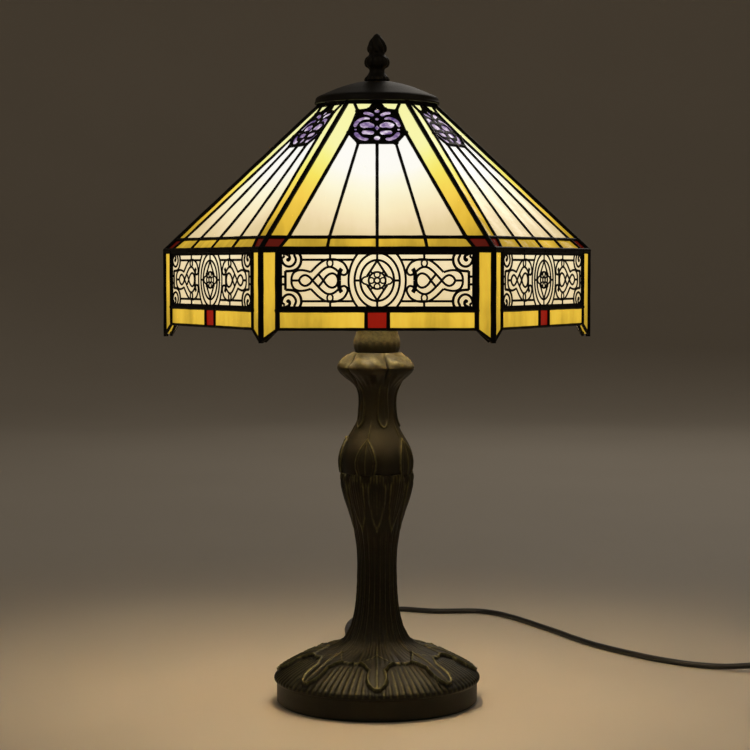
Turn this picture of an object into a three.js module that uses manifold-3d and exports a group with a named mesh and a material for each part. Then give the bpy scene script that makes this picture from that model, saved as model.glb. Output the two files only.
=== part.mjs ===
// Stained glass table lamp: a hexagonal leaded shade on a cast leaf-pattern stand.
// Millimetres, +Z up. Origin: centre of the underside of the felt pad, on the table.
// The front face of the shade looks along -Y, so two shade corners lie on the X axis.
import * as THREE from "three";
import { mergeVertices } from "three/addons/utils/BufferGeometryUtils.js";
import Module from "manifold-3d";

// ---- General -------------------------------------------------------------------------------
const GAP = 0.3; // clearance kept between pieces that touch
const SIDES = 6; // faces of the shade
const TURN = (2 * Math.PI) / SIDES;
const COS30 = Math.cos(Math.PI / 6);

// ---- Foot and column -------------------------------------------------------------------------
const SKIRT_RADIUS = 72; // plain ring round the foot
const PAD_INSET = 2; // felt pad back from the skirt ring
const PAD_THICK = 1.5;
const FOOT_BULGE = 2; // how far the leaf edge stands out over the skirt ring
const SKIRT_HEIGHT = 17; // top of the plain ring, where the leaf dome begins
const WALL = 3; // wall of the castings
const STEM_TOP = 165; // joint between the lower and the upper casting
const STEM_RIM = 26.5; // radius of the calyx rim at that joint
const COLUMN_HEIGHT = 82; // upper casting, from the joint to the socket cup
const CAPITAL_RADIUS = 27.8;
const CAPITAL_LOBES = 5;
const LOBE_DEPTH = 0.05; // share of the radius by which the capital's lobes swell and shrink
const WEB_HEIGHT = 37; // underside of the web inside the foot that the pipe clamps
const WEB_THICK = 5;
const CUP_HEIGHT = 21;
const CUP_RADIUS = 16.6;
const CUP_TUCK = 0.7; // widest part of the cup over the hole in the crown it stands in
const CROWN_RISE = 4; // crown of the capital round the cup's foot

// ---- Pipe, nuts and weight --------------------------------------------------------------------
const PIPE_RADIUS = 5; // M10 lamp pipe
const PIPE_FIT = 0.5; // play of the pipe in the castings
const PIPE_ROOM = 1.3; // between the cord and the pipe's bore
const NUT_WALL = 3; // lock nut's corners beyond the pipe
const NUT_THICK = 5;
const WASHER_WIDTH = 6;
const WASHER_THICK = 1.5;
const WEIGHT_INSET = 24; // weight ring's edge inside the skirt ring
const WEIGHT_INNER = 26;
const WEIGHT_THICK = 7;
const WEIGHT_BOTTOM = 15; // leaves room for the cord below the weight ring

// ---- Lamp holder and bulb ---------------------------------------------------------------------
const HOLDER_WALL = 2.2;
const HOLDER_AIR = 1.3; // between the brass screw shell and the holder's wall
const HOLDER_CAP_HEIGHT = 14;
const HOLDER_SHELL_HEIGHT = 32;
const THREAD_RADIUS = 13.25; // E27 screw cap
const THREAD_FIT = 0.25;
const THREAD_WALL = 0.5;
const BULB_RADIUS = 30;
const BULB_LENGTH = 107;
const BULB_CAP_LENGTH = 26;
const BULB_WALL = 1;

// ---- Harp ------------------------------------------------------------------------------------
const SADDLE_THICK = 1.5;
const SADDLE_SIDE = 0.7; // saddle beyond the hole for the pipe, on each side
const HARP_WIRE = 2; // radius
const HARP_SIDE_AIR = 7.5; // bulb to the widest part of the bow
const HARP_TOP_AIR = 15.9; // bulb to the centreline of the bow's top
const LEG_AIR = 6.5; // holder to the sleeves on the harp's legs
const POST_HEIGHT = 13.5;
const POST_WIDTH = 4.2;
const POST_THICK = 1.6;
const SLEEVE_FIT = 0.453; // play of the sleeves over the posts
const SLEEVE_WALL = 1.3;
const SLEEVE_LENGTH = 12;
const STUD_RADIUS = 3;
const STUD_GRIP = 1.5; // stud above the crown of the cap
const STUD_BOSS = 6;
const BOSS_HEIGHT = 2.7;

// ---- Shade -----------------------------------------------------------------------------------
const SHADE_CORNER = 152.5; // radius over the corners at the bend
const ROOF_SLOPE = THREE.MathUtils.degToRad(47.1); // of the roof faces, from level
const TOP_HALF = 21.15; // half the width of a roof face at the top edge
const SKIRT_DROP = 52; // bend to the lower lead edge
const LEG_DROP = 9; // how far the corner legs hang below that edge
const GLASS_THICK = 3;
const LEAD_PROUD = 1.2; // thickness of the lead over the glass
const RIDGE_AIR = 0.43; // glass to glass at the ridges, on each side
const CORNER_AIR = 0.2; // at the skirt's corners
const BEND_AIR = 0.13; // at the bend
const LEAD = 2.6; // width of the lead lines between panes
const BORDER = 11.5; // height of the amber border row above the bend
const STRIP_WIDTH = 14.03; // ridge strip at the border
const SHOULDER_STRIP = 13.62; // ridge strip at the medallion's shoulder
const HEAD_WIDTH = 5.35; // ridge strip at the top edge
const PANE_SPLIT = 0.5373; // white pane to white pane at the border, as a share of their half width
const PANE_STEP = 6.7; // outer white pane's upper end
const MEDALLION_LENGTH = 40.2; // foot of the medallion to the top edge
const SHOULDER_LENGTH = 30.2; // its widest point to the top edge
const NECK_LENGTH = 8.7;
const TIP_LENGTH = 7.2;
const NECK_STEP = 2.6; // neck of the medallion inside the ridge strip's head
const TIP_HALF = 5.5; // small amber piece to the medallion's tip
const TIP_TOP = 1.8;
const RED_WIDTH = 12.35; // red corner piece at the bend
const CORNER_STRIP = 11.75; // corner strip of the skirt
const WINDOW_DROP = 39.8; // bend to the lead under the filigree window
const WINDOW_BORDER = 1.8;
const RED_HALF = 7.2; // red piece in the middle of the bottom row

// ---- Cap, wheel and finial --------------------------------------------------------------------
const WHEEL_DROP = 3.5; // wheel below the shade's top edge
const WHEEL_INSET = 5.63; // wheel inside the flats of the top opening
const WHEEL_HUB = 8.06;
const WHEEL_RIM = 4;
const WHEEL_THICK = 1.5;
const WHEEL_SPOKES = 3;
const CAP_OVERHANG = 2.1; // cap beyond the corners of the top opening
const CAP_RISE = 16.6; // rim to crown
const CAP_WALL = 1.2;
const VENTS = 6;
const VENT_RADIUS = 2.6;
const VENT_RING = 15;
const FINIAL_HEIGHT = 33.4;
const FINIAL_BALL = 9;

// ---- Cord, switch and plug --------------------------------------------------------------------
const CORD_RADIUS = 2.3;
const CORD_REST = 2.4; // height of the cord's centre where it lies on the table
const CORD_EXIT_Z = 9;
const GLAND_LENGTH = 28; // outside the skirt ring
const GLAND_RADIUS = 4.2;
const GLAND_FLANGE = 6;
const GLAND_SEAT = 0.8; // play of the inner flange behind the curved skirt ring
const SWITCH_LENGTH = 62;
const SWITCH_WIDTH = 25;
const SWITCH_HEIGHT = 14.2;
const SWITCH_AXIS_Z = 6.5;
const SWITCH_CENTRE = [328, 84];
const SWITCH_ANGLE = THREE.MathUtils.degToRad(-20);
const SWITCH_WALL = 1.6;
const ROCKER_LENGTH = 18;
const ROCKER_WIDTH = 10;
const ROCKER_TILT = THREE.MathUtils.degToRad(8);
const ROCKER_FIT = 0.8;
const COIL_INNER = 22; // centreline radius of the innermost turn
const COIL_PITCH = 4.6;
const COIL_LAYER_TURNS = 2.42; // turns in each of the two layers
const COIL_ENTRY = [402, 57]; // where the cord runs onto the coil
const PLUG_LEAD = 101; // coil centre line to the plug's strain relief, measured along Y
const PLUG_WIDTH = 24;
const PLUG_HEIGHT = 15;
const PLUG_LENGTH = 30;
const PLUG_NECK = 22; // tapered strain relief
const BLADE = [6.3, 1.5, 17]; // width, thickness, length
const BLADE_PITCH = 12.7;

// The cord from the strain relief to the switch, along its centre.
const CORD_ROUTE = [
  [0, 100.3, 9],
  [-0.3, 112, 8.7],
  [-2, 126, 6.6],
  [-5, 142, 3.9],
  [-9, 158, 2.6],
  [-13, 174, 2.4],
  [-18, 198, 2.4],
  [-22.5, 224, 2.4],
  [-24.5, 250, 2.4],
  [-24.8, 276, 2.4],
  [-22, 302, 2.4],
  [-15.5, 327, 2.4],
  [-5, 348, 2.4],
  [8, 362, 2.4],
  [22, 366, 2.4],
  [37, 361, 2.4],
  [53, 355.5, 2.4],
  [72, 356, 2.4],
  [90, 356, 2.4],
  [104, 347.5, 2.4],
  [117, 330, 2.4],
  [130, 305, 2.4],
  [142, 279, 2.4],
  [154.5, 251.5, 2.4],
  [166, 224, 2.4],
  [180, 195, 2.4],
  [201, 164, 2.4],
  [224, 135.5, 2.4],
  [249, 115, 2.4],
  [270, 105.2, 3],
  [284, 100, 4.6],
  [298.6, 94.7, 6.5],
];
// From the switch to the coil.
const CORD_TAIL = [
  [357.4, 73.3, 6.5],
  [366, 70.2, 5.2],
  [375, 66.9, 3.2],
  [384.3, 63.5, 2.4],
];

const wasm = await Module();
wasm.setup();

// ---- Finishes --------------------------------------------------------------------------------
function finish(color, roughness, metalness, extra = {}) {
  return new THREE.MeshStandardMaterial({ color, roughness, metalness, ...extra });
}
const bronze = finish(0x1c1a12, 0.45, 0.6);
const capPaint = finish(0x14120a, 0.45, 0.5);
const steel = finish(0x8d8f90, 0.35, 1);
const brass = finish(0xa98c4a, 0.35, 1);
const iron = finish(0x3a3a3a, 0.8, 0.6);
const felt = finish(0x1e2a1e, 0.95, 0);
const bakelite = finish(0x17130f, 0.4, 0);
const blackPlastic = finish(0x0d0d0d, 0.45, 0);
const cordSkin = finish(0x0c0c0c, 0.5, 0);
const lead = finish(0x14110c, 0.5, 0.7);
const clear = { transparent: true, opacity: 0.9 };
const whiteGlass = finish(0xf6eed4, 0.15, 0, clear);
const amberGlass = finish(0xe0b23a, 0.15, 0, clear);
const purpleGlass = finish(0x8a7ac8, 0.15, 0, clear);
const opalGlass = finish(0xfff6e0, 0.2, 0, clear);

const lamp = new THREE.Group();

function add(name, geometry, material, parent = lamp) {
  const mesh = new THREE.Mesh(geometry, material);
  mesh.name = name;
  parent.add(mesh);
  return mesh;
}

// ---- Geometry helpers ------------------------------------------------------------------------

// A solid of revolution about Z from [radius, height] points; a profile off the axis closes on itself.
function revolve(profile, segments = 40) {
  const points = profile.map(([r, z]) => new THREE.Vector2(r, z));
  if (profile[0][0] > 0) points.push(points[0].clone());
  const geometry = new THREE.LatheGeometry(points, segments);
  return geometry.rotateX(Math.PI / 2);
}

function outline(points) {
  return new THREE.Shape(points.map(([x, y]) => new THREE.Vector2(x, y)));
}

function prism(points, depth) {
  return new THREE.ExtrudeGeometry(outline(points), { depth, bevelEnabled: false });
}

function circle(radius, count, x = 0, y = 0, ratio = 1) {
  const at = (i) => (i * 2 * Math.PI) / count;
  return Array.from({ length: count }, (_, i) => [
    x + radius * Math.cos(at(i)),
    y + radius * ratio * Math.sin(at(i)),
  ]);
}

function rod(radius, length, sides = 24) {
  return new THREE.CylinderGeometry(radius, radius, length, sides).rotateX(Math.PI / 2);
}

// A round bar carried along a curve.
function bar(curve, radius, steps, sides = 8) {
  const section = outline(circle(radius, sides));
  return new THREE.ExtrudeGeometry(section, { steps, bevelEnabled: false, extrudePath: curve });
}

function curveThrough(points) {
  return new THREE.CatmullRomCurve3(points.map((p) => new THREE.Vector3(...p)));
}

function toSolid(geometry) {
  const plain = geometry.clone();
  plain.deleteAttribute("normal");
  plain.deleteAttribute("uv");
  const merged = mergeVertices(plain, 1e-4);
  const vertProperties = merged.attributes.position.array;
  const triVerts = new Uint32Array(merged.index.array);
  return new wasm.Manifold(new wasm.Mesh({ numProp: 3, vertProperties, triVerts }));
}

function toGeometry(solid) {
  const mesh = solid.getMesh();
  const geometry = new THREE.BufferGeometry();
  geometry.setAttribute("position", new THREE.BufferAttribute(mesh.vertProperties, 3));
  geometry.setIndex(new THREE.BufferAttribute(mesh.triVerts, 1));
  return geometry;
}

function cut(geometry, ...tools) {
  return toGeometry(tools.reduce((left, tool) => left.subtract(toSolid(tool)), toSolid(geometry)));
}

function join(...pieces) {
  return toGeometry(pieces.map(toSolid).reduce((all, piece) => all.add(piece)));
}

// A flat plate with openings through it.
function plate(points, depth, holes) {
  const tools = holes.map((hole) => prism(hole, depth + 2).translate(0, 0, -1));
  return cut(prism(points, depth), ...tools);
}

// ---- Foot ------------------------------------------------------------------------------------

function buildPad() {
  const radius = SKIRT_RADIUS - PAD_INSET;
  const disc = [[0, 0], [radius, 0], [radius, PAD_THICK], [0, PAD_THICK]];
  add("base_pad", revolve(disc, 48), felt);
}

const stemFoot = WEB_HEIGHT + 9.5;
const stem = (share) => stemFoot + (STEM_TOP - stemFoot) * share;

// Outside of the lower casting: skirt ring, leaf dome, fluted stem and calyx, as radius over height.
function footOutline() {
  const rim = SKIRT_RADIUS + FOOT_BULGE;
  return [
    [SKIRT_RADIUS, PAD_THICK + GAP],
    [SKIRT_RADIUS, SKIRT_HEIGHT - 2],
    [rim, SKIRT_HEIGHT + 0.5],
    [rim - 4, SKIRT_HEIGHT + 4.5],
    [rim - 14, SKIRT_HEIGHT + 11],
    [rim - 28, SKIRT_HEIGHT + 17.8],
    [30, WEB_HEIGHT + 3.2],
    [22.1, stemFoot],
    [18, stem(0.068)],
    [15.7, stem(0.148)],
    [14, stem(0.266)],
    [13.4, stem(0.392)],
    [14.4, stem(0.553)],
    [18.2, stem(0.716)],
    [23.9, stem(0.877)],
    [STEM_RIM - 0.4, stem(0.953)],
    [STEM_RIM, STEM_TOP],
  ];
}

// The lower casting is hollow, with a web inside the foot and a flat top that the pipe passes.
function buildFoot() {
  const bore = PIPE_RADIUS + PIPE_FIT;
  const webTop = WEB_HEIGHT + WEB_THICK;
  const inside = SKIRT_RADIUS - WALL;
  const profile = [
    ...footOutline(),
    [bore, STEM_TOP],
    [bore, STEM_TOP - WALL],
    [STEM_RIM - WALL - 0.6, STEM_TOP - WALL],
    [18.2 - WALL, stem(0.7)],
    [13.4 - WALL, stem(0.392)],
    [14.2 - WALL, stem(0.148)],
    [bore + 4, webTop],
    [bore, webTop],
    [bore, WEB_HEIGHT],
    [26, WEB_HEIGHT],
    [inside - 24, SKIRT_HEIGHT + 14.5],
    [inside - 10, SKIRT_HEIGHT + 6.5],
    [inside, SKIRT_HEIGHT - 1],
    [inside, PAD_THICK + GAP],
  ];
  const hole = rod(GLAND_RADIUS + GAP, 4 * WALL, 16).rotateX(Math.PI / 2);
  hole.translate(0, SKIRT_RADIUS - WALL / 2, CORD_EXIT_Z);
  add("foot_casting", cut(revolve(profile, 32), hole), bronze);
}

function buildWeight() {
  const top = WEIGHT_BOTTOM + WEIGHT_THICK;
  const outer = SKIRT_RADIUS - WEIGHT_INSET;
  const profile = [
    [WEIGHT_INNER, WEIGHT_BOTTOM],
    [outer, WEIGHT_BOTTOM],
    [outer, top],
    [WEIGHT_INNER, top],
  ];
  add("weight_ring", revolve(profile, 32), iron);
}

// ---- Upper column and cup --------------------------------------------------------------------

const columnBottom = STEM_TOP + GAP;
const columnTop = columnBottom + COLUMN_HEIGHT;

function lobed(geometry, fromZ, toZ) {
  const position = geometry.attributes.position;
  for (let i = 0; i < position.count; i++) {
    const x = position.getX(i);
    const y = position.getY(i);
    const z = position.getZ(i);
    const share = THREE.MathUtils.clamp((z - fromZ) / (toZ - fromZ), 0, 1);
    const fade = Math.sin(Math.PI * share);
    const angle = Math.atan2(x, -y) + Math.PI / 10;
    const swell = 1 + LOBE_DEPTH * fade * Math.cos(CAPITAL_LOBES * angle);
    position.setXY(i, x * swell, y * swell);
  }
  return geometry;
}

function buildColumn() {
  const bore = PIPE_RADIUS + PIPE_FIT;
  const cupHole = CUP_RADIUS - CUP_TUCK;
  const up = (share) => columnBottom + COLUMN_HEIGHT * share;
  const outside = [
    [STEM_RIM - 0.6, up(0)],
    [STEM_RIM - 0.4, up(0.098)],
    [24.1, up(0.207)],
    [20, up(0.305)],
    [16.4, up(0.374)],
    [14, up(0.451)],
    [13.1, up(0.639)],
    [14.2, up(0.72)],
    [16.8, up(0.774)],
    [CAPITAL_RADIUS - 2.4, up(0.854)],
    [CAPITAL_RADIUS, up(0.906)],
    [CAPITAL_RADIUS - 3.2, up(0.965)],
    [CAPITAL_RADIUS - 7.2, columnTop + 1.2],
    [cupHole + 1.6, columnTop + CROWN_RISE - 0.2],
    [cupHole, columnTop + CROWN_RISE],
  ];
  const inside = [
    [cupHole, columnTop],
    [bore, columnTop],
    [bore, up(0.634)],
    [13.1 - WALL, up(0.561)],
    [14 - WALL, up(0.439)],
    [24.1 - WALL, up(0.195)],
    [STEM_RIM - WALL - 1, columnBottom + WALL],
    [bore, columnBottom + WALL],
    [bore, columnBottom],
  ];
  const casting = lobed(revolve([...outside, ...inside], 30), up(0.768), columnTop + CROWN_RISE);
  add("column_casting", casting, bronze);
}

const cupBottom = columnTop + GAP;
const cupTop = cupBottom + CUP_HEIGHT - GAP;

function buildCup() {
  const bore = PIPE_RADIUS + PIPE_FIT;
  const profile = [
    [CUP_RADIUS - 2.2, cupBottom],
    [CUP_RADIUS - 1.4, cupBottom + 3],
    [CUP_RADIUS, cupBottom + 11],
    [CUP_RADIUS - 1.8, cupTop - 2.4],
    [CUP_RADIUS - 3, cupTop],
    [bore, cupTop],
    [bore, cupBottom],
  ];
  add("socket_cup", revolve(profile, 28), bronze);
}

// ---- Threaded pipe and its nuts --------------------------------------------------------------

const saddleZ = cupTop + GAP;
const topNutZ = saddleZ + SADDLE_THICK + GAP;
const holderZ = topNutZ + NUT_THICK + GAP;
const washerZ = WEB_HEIGHT - GAP - WASHER_THICK;
const lowerNutZ = washerZ - GAP - NUT_THICK;
const pipeFoot = lowerNutZ - 4;
const pipeHead = holderZ + 3;
const pipeBore = CORD_RADIUS + PIPE_ROOM;

function buildPipe() {
  const profile = [
    [pipeBore, pipeFoot],
    [PIPE_RADIUS, pipeFoot],
    [PIPE_RADIUS, pipeHead],
    [pipeBore, pipeHead],
  ];
  add("threaded_pipe", revolve(profile, 20), steel);
}

function buildNut(name, z) {
  const nut = plate(circle(PIPE_RADIUS + NUT_WALL, 6), NUT_THICK, [circle(PIPE_RADIUS + GAP, 20)]);
  add(name, nut.translate(0, 0, z), brass);
}

function buildWasher() {
  const disc = plate(circle(PIPE_RADIUS + WASHER_WIDTH, 28), WASHER_THICK, [circle(PIPE_RADIUS + GAP, 20)]);
  add("bottom_washer", disc.translate(0, 0, washerZ), steel);
}

// ---- Lamp holder -----------------------------------------------------------------------------

const shellZ = holderZ + HOLDER_CAP_HEIGHT + GAP;
const shellTop = shellZ + HOLDER_SHELL_HEIGHT;
const threadShell = THREAD_RADIUS + THREAD_FIT + THREAD_WALL;
const holderRadius = threadShell + HOLDER_AIR + HOLDER_WALL;

function buildHolder() {
  const outer = holderRadius;
  const inner = holderRadius - HOLDER_WALL;
  const hole = PIPE_RADIUS + GAP;
  const capTop = holderZ + HOLDER_CAP_HEIGHT;
  const cap = [
    [hole, holderZ],
    [outer - 6, holderZ],
    [outer, holderZ + 7],
    [outer, capTop],
    [inner, capTop],
    [inner, holderZ + 8],
    [outer - 7, holderZ + HOLDER_WALL],
    [hole, holderZ + HOLDER_WALL],
  ];
  add("holder_base_cap", revolve(cap, 28), bakelite);
  const shell = [
    [inner, shellZ],
    [outer, shellZ],
    [outer, shellTop],
    [inner, shellTop],
  ];
  add("holder_shell", revolve(shell, 28), bakelite);
  const thread = threadShell - THREAD_WALL;
  const liner = [
    [0, shellZ + 1],
    [threadShell, shellZ + 1],
    [threadShell, shellTop - 3],
    [thread, shellTop - 3],
    [thread, shellZ + 3],
    [0, shellZ + 3],
  ];
  add("holder_screw_shell", revolve(liner, 24), brass);
}

// ---- Bulb ------------------------------------------------------------------------------------

const bulbFoot = shellZ + 3 + 1.5;
const bulbTop = bulbFoot + BULB_LENGTH;
const bulbCentre = bulbTop - BULB_RADIUS;

function buildBulb() {
  const capTop = bulbFoot + BULB_CAP_LENGTH;
  const screwCap = [
    [0, bulbFoot],
    [5, bulbFoot],
    [THREAD_RADIUS, bulbFoot + 5],
    [THREAD_RADIUS, capTop],
    [THREAD_RADIUS - 0.6, capTop],
    [THREAD_RADIUS - 0.6, bulbFoot + 6],
    [0, bulbFoot + 3],
  ];
  add("bulb_screw_cap", revolve(screwCap, 24), steel);
  const neck = THREAD_RADIUS - 0.6 - GAP;
  const globe = (radius, from) => {
    const points = [];
    for (let i = 0; i <= 6; i++) {
      const angle = from + ((Math.PI / 2 - from) * i) / 6;
      points.push([radius * Math.cos(angle), bulbCentre + radius * Math.sin(angle)]);
    }
    points[points.length - 1][0] = 0;
    return points;
  };
  const skirt = -0.7;
  const outside = [[neck, capTop - 8], [neck, capTop + 5], ...globe(BULB_RADIUS, skirt)];
  const insideNeck = neck - BULB_WALL;
  const inside = [[insideNeck, capTop - 8], [insideNeck, capTop + 5]];
  const glass = [...outside, ...globe(BULB_RADIUS - BULB_WALL, skirt).reverse(), ...inside.reverse()];
  glass.push(glass[0]);
  const points = glass.map(([r, z]) => new THREE.Vector2(r, z));
  add("bulb_glass", new THREE.LatheGeometry(points, 20).rotateX(Math.PI / 2), opalGlass);
}

// ---- Harp ------------------------------------------------------------------------------------

const harpFoot = saddleZ + POST_HEIGHT + GAP;
const harpTop = bulbTop + HARP_TOP_AIR;
const harpHeight = harpTop - harpFoot;
const harpWidest = BULB_RADIUS + HARP_SIDE_AIR + HARP_WIRE;
const sleeveBore = Math.max(Math.hypot(POST_WIDTH, POST_THICK) / 2, HARP_WIRE) + SLEEVE_FIT;
const sleeveRadius = sleeveBore + SLEEVE_WALL;
const harpHalf = holderRadius + LEG_AIR + sleeveRadius;
const saddleHalf = PIPE_RADIUS + GAP + SADDLE_SIDE;

function buildSaddle() {
  const strip = plate(
    [
      [-harpHalf - 0.8, -saddleHalf],
      [harpHalf + 0.8, -saddleHalf],
      [harpHalf + 0.8, saddleHalf],
      [-harpHalf - 0.8, saddleHalf],
    ],
    SADDLE_THICK,
    [circle(PIPE_RADIUS + GAP, 20)],
  ).translate(0, 0, saddleZ);
  const post = (side) =>
    new THREE.BoxGeometry(POST_THICK, POST_WIDTH, POST_HEIGHT).translate(
      side * harpHalf,
      0,
      saddleZ + POST_HEIGHT / 2,
    );
  add("harp_saddle", join(strip, post(-1), post(1)), brass);
}

function buildHarp() {
  const rise = (share) => harpFoot + harpHeight * share;
  const side = [
    [harpHalf, rise(0)],
    [harpHalf, rise(0.17)],
    [harpHalf + 5.5, rise(0.28)],
    [harpWidest, rise(0.43)],
    [harpWidest - 0.7, rise(0.62)],
    [harpWidest - 6.5, rise(0.8)],
    [harpWidest - 17, rise(0.925)],
    [11, rise(0.988)],
  ];
  const right = side.map(([x, z]) => [x, 0, z]);
  const left = side.map(([x, z]) => [-x, 0, z]).reverse();
  const curve = curveThrough([...right, [0, 0, harpTop], ...left]);
  add("harp", bar(curve, HARP_WIRE, 36), brass);
}

function buildSleeve(name, side) {
  const z = harpFoot - SLEEVE_LENGTH / 2;
  const profile = [
    [sleeveBore, z],
    [sleeveRadius, z],
    [sleeveRadius, z + SLEEVE_LENGTH],
    [sleeveBore, z + SLEEVE_LENGTH],
  ];
  add(name, revolve(profile, 16).translate(side * harpHalf, 0, 0), brass);
}

const bossZ = harpTop + HARP_WIRE + GAP;
const wheelZ = bossZ + BOSS_HEIGHT + GAP;

function buildStud() {
  const tip = capCrown + STUD_GRIP;
  const profile = [
    [0, bossZ],
    [STUD_BOSS, bossZ],
    [STUD_BOSS, bossZ + BOSS_HEIGHT],
    [STUD_RADIUS, bossZ + BOSS_HEIGHT],
    [STUD_RADIUS, tip],
    [0, tip],
  ];
  add("harp_stud", revolve(profile, 20), brass);
}

// ---- Shade -----------------------------------------------------------------------------------

const apothem = SHADE_CORNER * COS30;
const roofRun = Math.cos(ROOF_SLOPE);
const roofRise = Math.sin(ROOF_SLOPE);
const ROOT3 = Math.sqrt(3);
const roofLength = (apothem - TOP_HALF * ROOT3) / roofRun;
const bendZ = wheelZ + WHEEL_DROP - roofLength * roofRise;
const glassBack = LEAD_PROUD + GAP + GLASS_THICK;
const ridgeHalfAngle = Math.acos(1 - roofRise ** 2 / 2) / 2;
const ridgeInset = glassBack * Math.tan(ridgeHalfAngle) + RIDGE_AIR;
const cornerInset = glassBack * Math.tan(TURN / 2) + CORNER_AIR;
const bendInset = glassBack * Math.tan((Math.PI / 2 - ROOF_SLOPE) / 2) + BEND_AIR;

// Half the width of a roof face at a distance up its slope.
function roofHalf(v) {
  return (apothem - v * roofRun) / ROOT3;
}

// Face frames: local X across the face, Y up it, Z out of it.
function faceFrame(index, slope) {
  const frame = new THREE.Group();
  frame.rotation.z = index * TURN;
  const plane = new THREE.Group();
  plane.position.set(0, -apothem, bendZ);
  plane.rotation.x = slope;
  frame.add(plane);
  frame.updateMatrixWorld(true);
  return plane;
}

function roofFrame(index) {
  return faceFrame(index, ROOF_SLOPE);
}

function skirtFrame(index) {
  return faceFrame(index, Math.PI / 2);
}

const stripFoot = roofHalf(BORDER) - STRIP_WIDTH;
const paneFoot = stripFoot * PANE_SPLIT;
const redCornerX = roofHalf(0) - RED_WIDTH;
const borderSplit = redCornerX * 0.5086;
const skirtStrip = roofHalf(0) - CORNER_STRIP;
const medallionFoot = roofLength - MEDALLION_LENGTH;
const medallionShoulder = roofLength - SHOULDER_LENGTH;
const medallionNeck = roofLength - NECK_LENGTH;
const medallionTip = roofLength - TIP_LENGTH;
const headStrip = TOP_HALF - HEAD_WIDTH;
const neckHalf = headStrip - NECK_STEP;
const stripHead = roofHalf(medallionShoulder) - SHOULDER_STRIP;
const paneHead = stripHead - PANE_STEP;

const mirrored = (points) => points.map(([x, y]) => [-x, y]).reverse();

// The glass pieces of a roof face, by the centre lines of the lead round them, right half.
function roofPieces() {
  const edge = (v) => roofHalf(v);
  const neckTop = roofLength;
  const strip = [
    [edge(BORDER), BORDER],
    [edge(neckTop), neckTop],
    [headStrip, neckTop],
    [neckHalf, medallionNeck],
    [stripHead, medallionShoulder],
    [stripFoot, BORDER],
  ];
  const outerPane = [
    [stripFoot, BORDER],
    [stripHead, medallionShoulder],
    [paneHead, medallionFoot],
    [paneFoot, BORDER],
  ];
  const innerPane = [
    [paneFoot, BORDER],
    [paneHead, medallionFoot],
    [0, medallionFoot],
    [0, BORDER],
  ];
  const topPiece = [
    [headStrip, neckTop],
    [TIP_TOP, neckTop],
    [TIP_HALF, medallionTip],
    [neckHalf, medallionNeck],
  ];
  const redCorner = [
    [edge(0), 0],
    [edge(BORDER), BORDER],
    [stripFoot, BORDER],
    [redCornerX, 0],
  ];
  const outerBorder = [
    [redCornerX, 0],
    [stripFoot, BORDER],
    [paneFoot, BORDER],
    [borderSplit, 0],
  ];
  const innerBorder = [
    [borderSplit, 0],
    [paneFoot, BORDER],
    [0, BORDER],
    [0, 0],
  ];
  return [strip, outerPane, innerPane, topPiece, redCorner, outerBorder, innerBorder];
}

function medallionOutline() {
  const right = [
    [paneHead, medallionFoot],
    [stripHead, medallionShoulder],
    [neckHalf, medallionNeck],
    [TIP_HALF, medallionTip],
    [TIP_TOP, roofLength],
  ];
  return [...right, ...mirrored(right)];
}

// Moves each side of a convex, anticlockwise polygon inwards by a distance.
function inset(points, distance) {
  const count = points.length;
  const lines = points.map((a, i) => {
    const b = points[(i + 1) % count];
    const length = Math.hypot(b[0] - a[0], b[1] - a[1]);
    const n = [-(b[1] - a[1]) / length, (b[0] - a[0]) / length];
    return { n, c: n[0] * a[0] + n[1] * a[1] + distance };
  });
  return points.map((_, i) => {
    const p = lines[(i + count - 1) % count];
    const q = lines[i];
    const det = p.n[0] * q.n[1] - p.n[1] * q.n[0];
    return [(p.c * q.n[1] - q.c * p.n[1]) / det, (p.n[0] * q.c - q.n[0] * p.c) / det];
  });
}

const glassDepth = -glassBack;

function placed(geometry, frame) {
  return geometry.clone().applyMatrix4(frame.matrixWorld);
}

// One roof face's glass, notched for the medallion at its head.
function roofGlass() {
  const top = roofLength - 1;
  const side = (v) => roofHalf(v) - ridgeInset;
  const half = LEAD / 2;
  const notch = [
    [-headStrip - half, top],
    [-neckHalf - half, medallionNeck],
    [-stripHead - half, medallionShoulder],
    [-paneHead - half, medallionFoot - half],
    [paneHead + half, medallionFoot - half],
    [stripHead + half, medallionShoulder],
    [neckHalf + half, medallionNeck],
    [headStrip + half, top],
  ];
  const points = [
    [side(top), top],
    ...notch.reverse(),
    [-side(top), top],
    [-side(bendInset), bendInset],
    [side(bendInset), bendInset],
  ];
  return prism(points.reverse(), GLASS_THICK).translate(0, 0, glassDepth);
}

function medallionGlass() {
  const right = [
    [paneHead - 0.4, medallionFoot + 0.3],
    [stripHead - 0.6, medallionShoulder],
    [neckHalf - 0.6, medallionNeck],
    [headStrip - 1, roofLength - 1],
  ];
  return prism([...right, ...mirrored(right)], GLASS_THICK).translate(0, 0, glassDepth);
}

function skirtOutline(edge, foot) {
  const legFoot = foot - LEG_DROP;
  return [
    [edge, legFoot],
    [edge, 0],
    [-edge, 0],
    [-edge, legFoot],
    [-skirtStrip, foot],
    [skirtStrip, foot],
  ];
}

function skirtGlass() {
  const edge = roofHalf(0) - cornerInset;
  const points = skirtOutline(edge, -SKIRT_DROP + 1).map(([x, y]) => [x, Math.min(y, -bendInset)]);
  return prism(points, GLASS_THICK).translate(0, 0, glassDepth);
}

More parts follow.
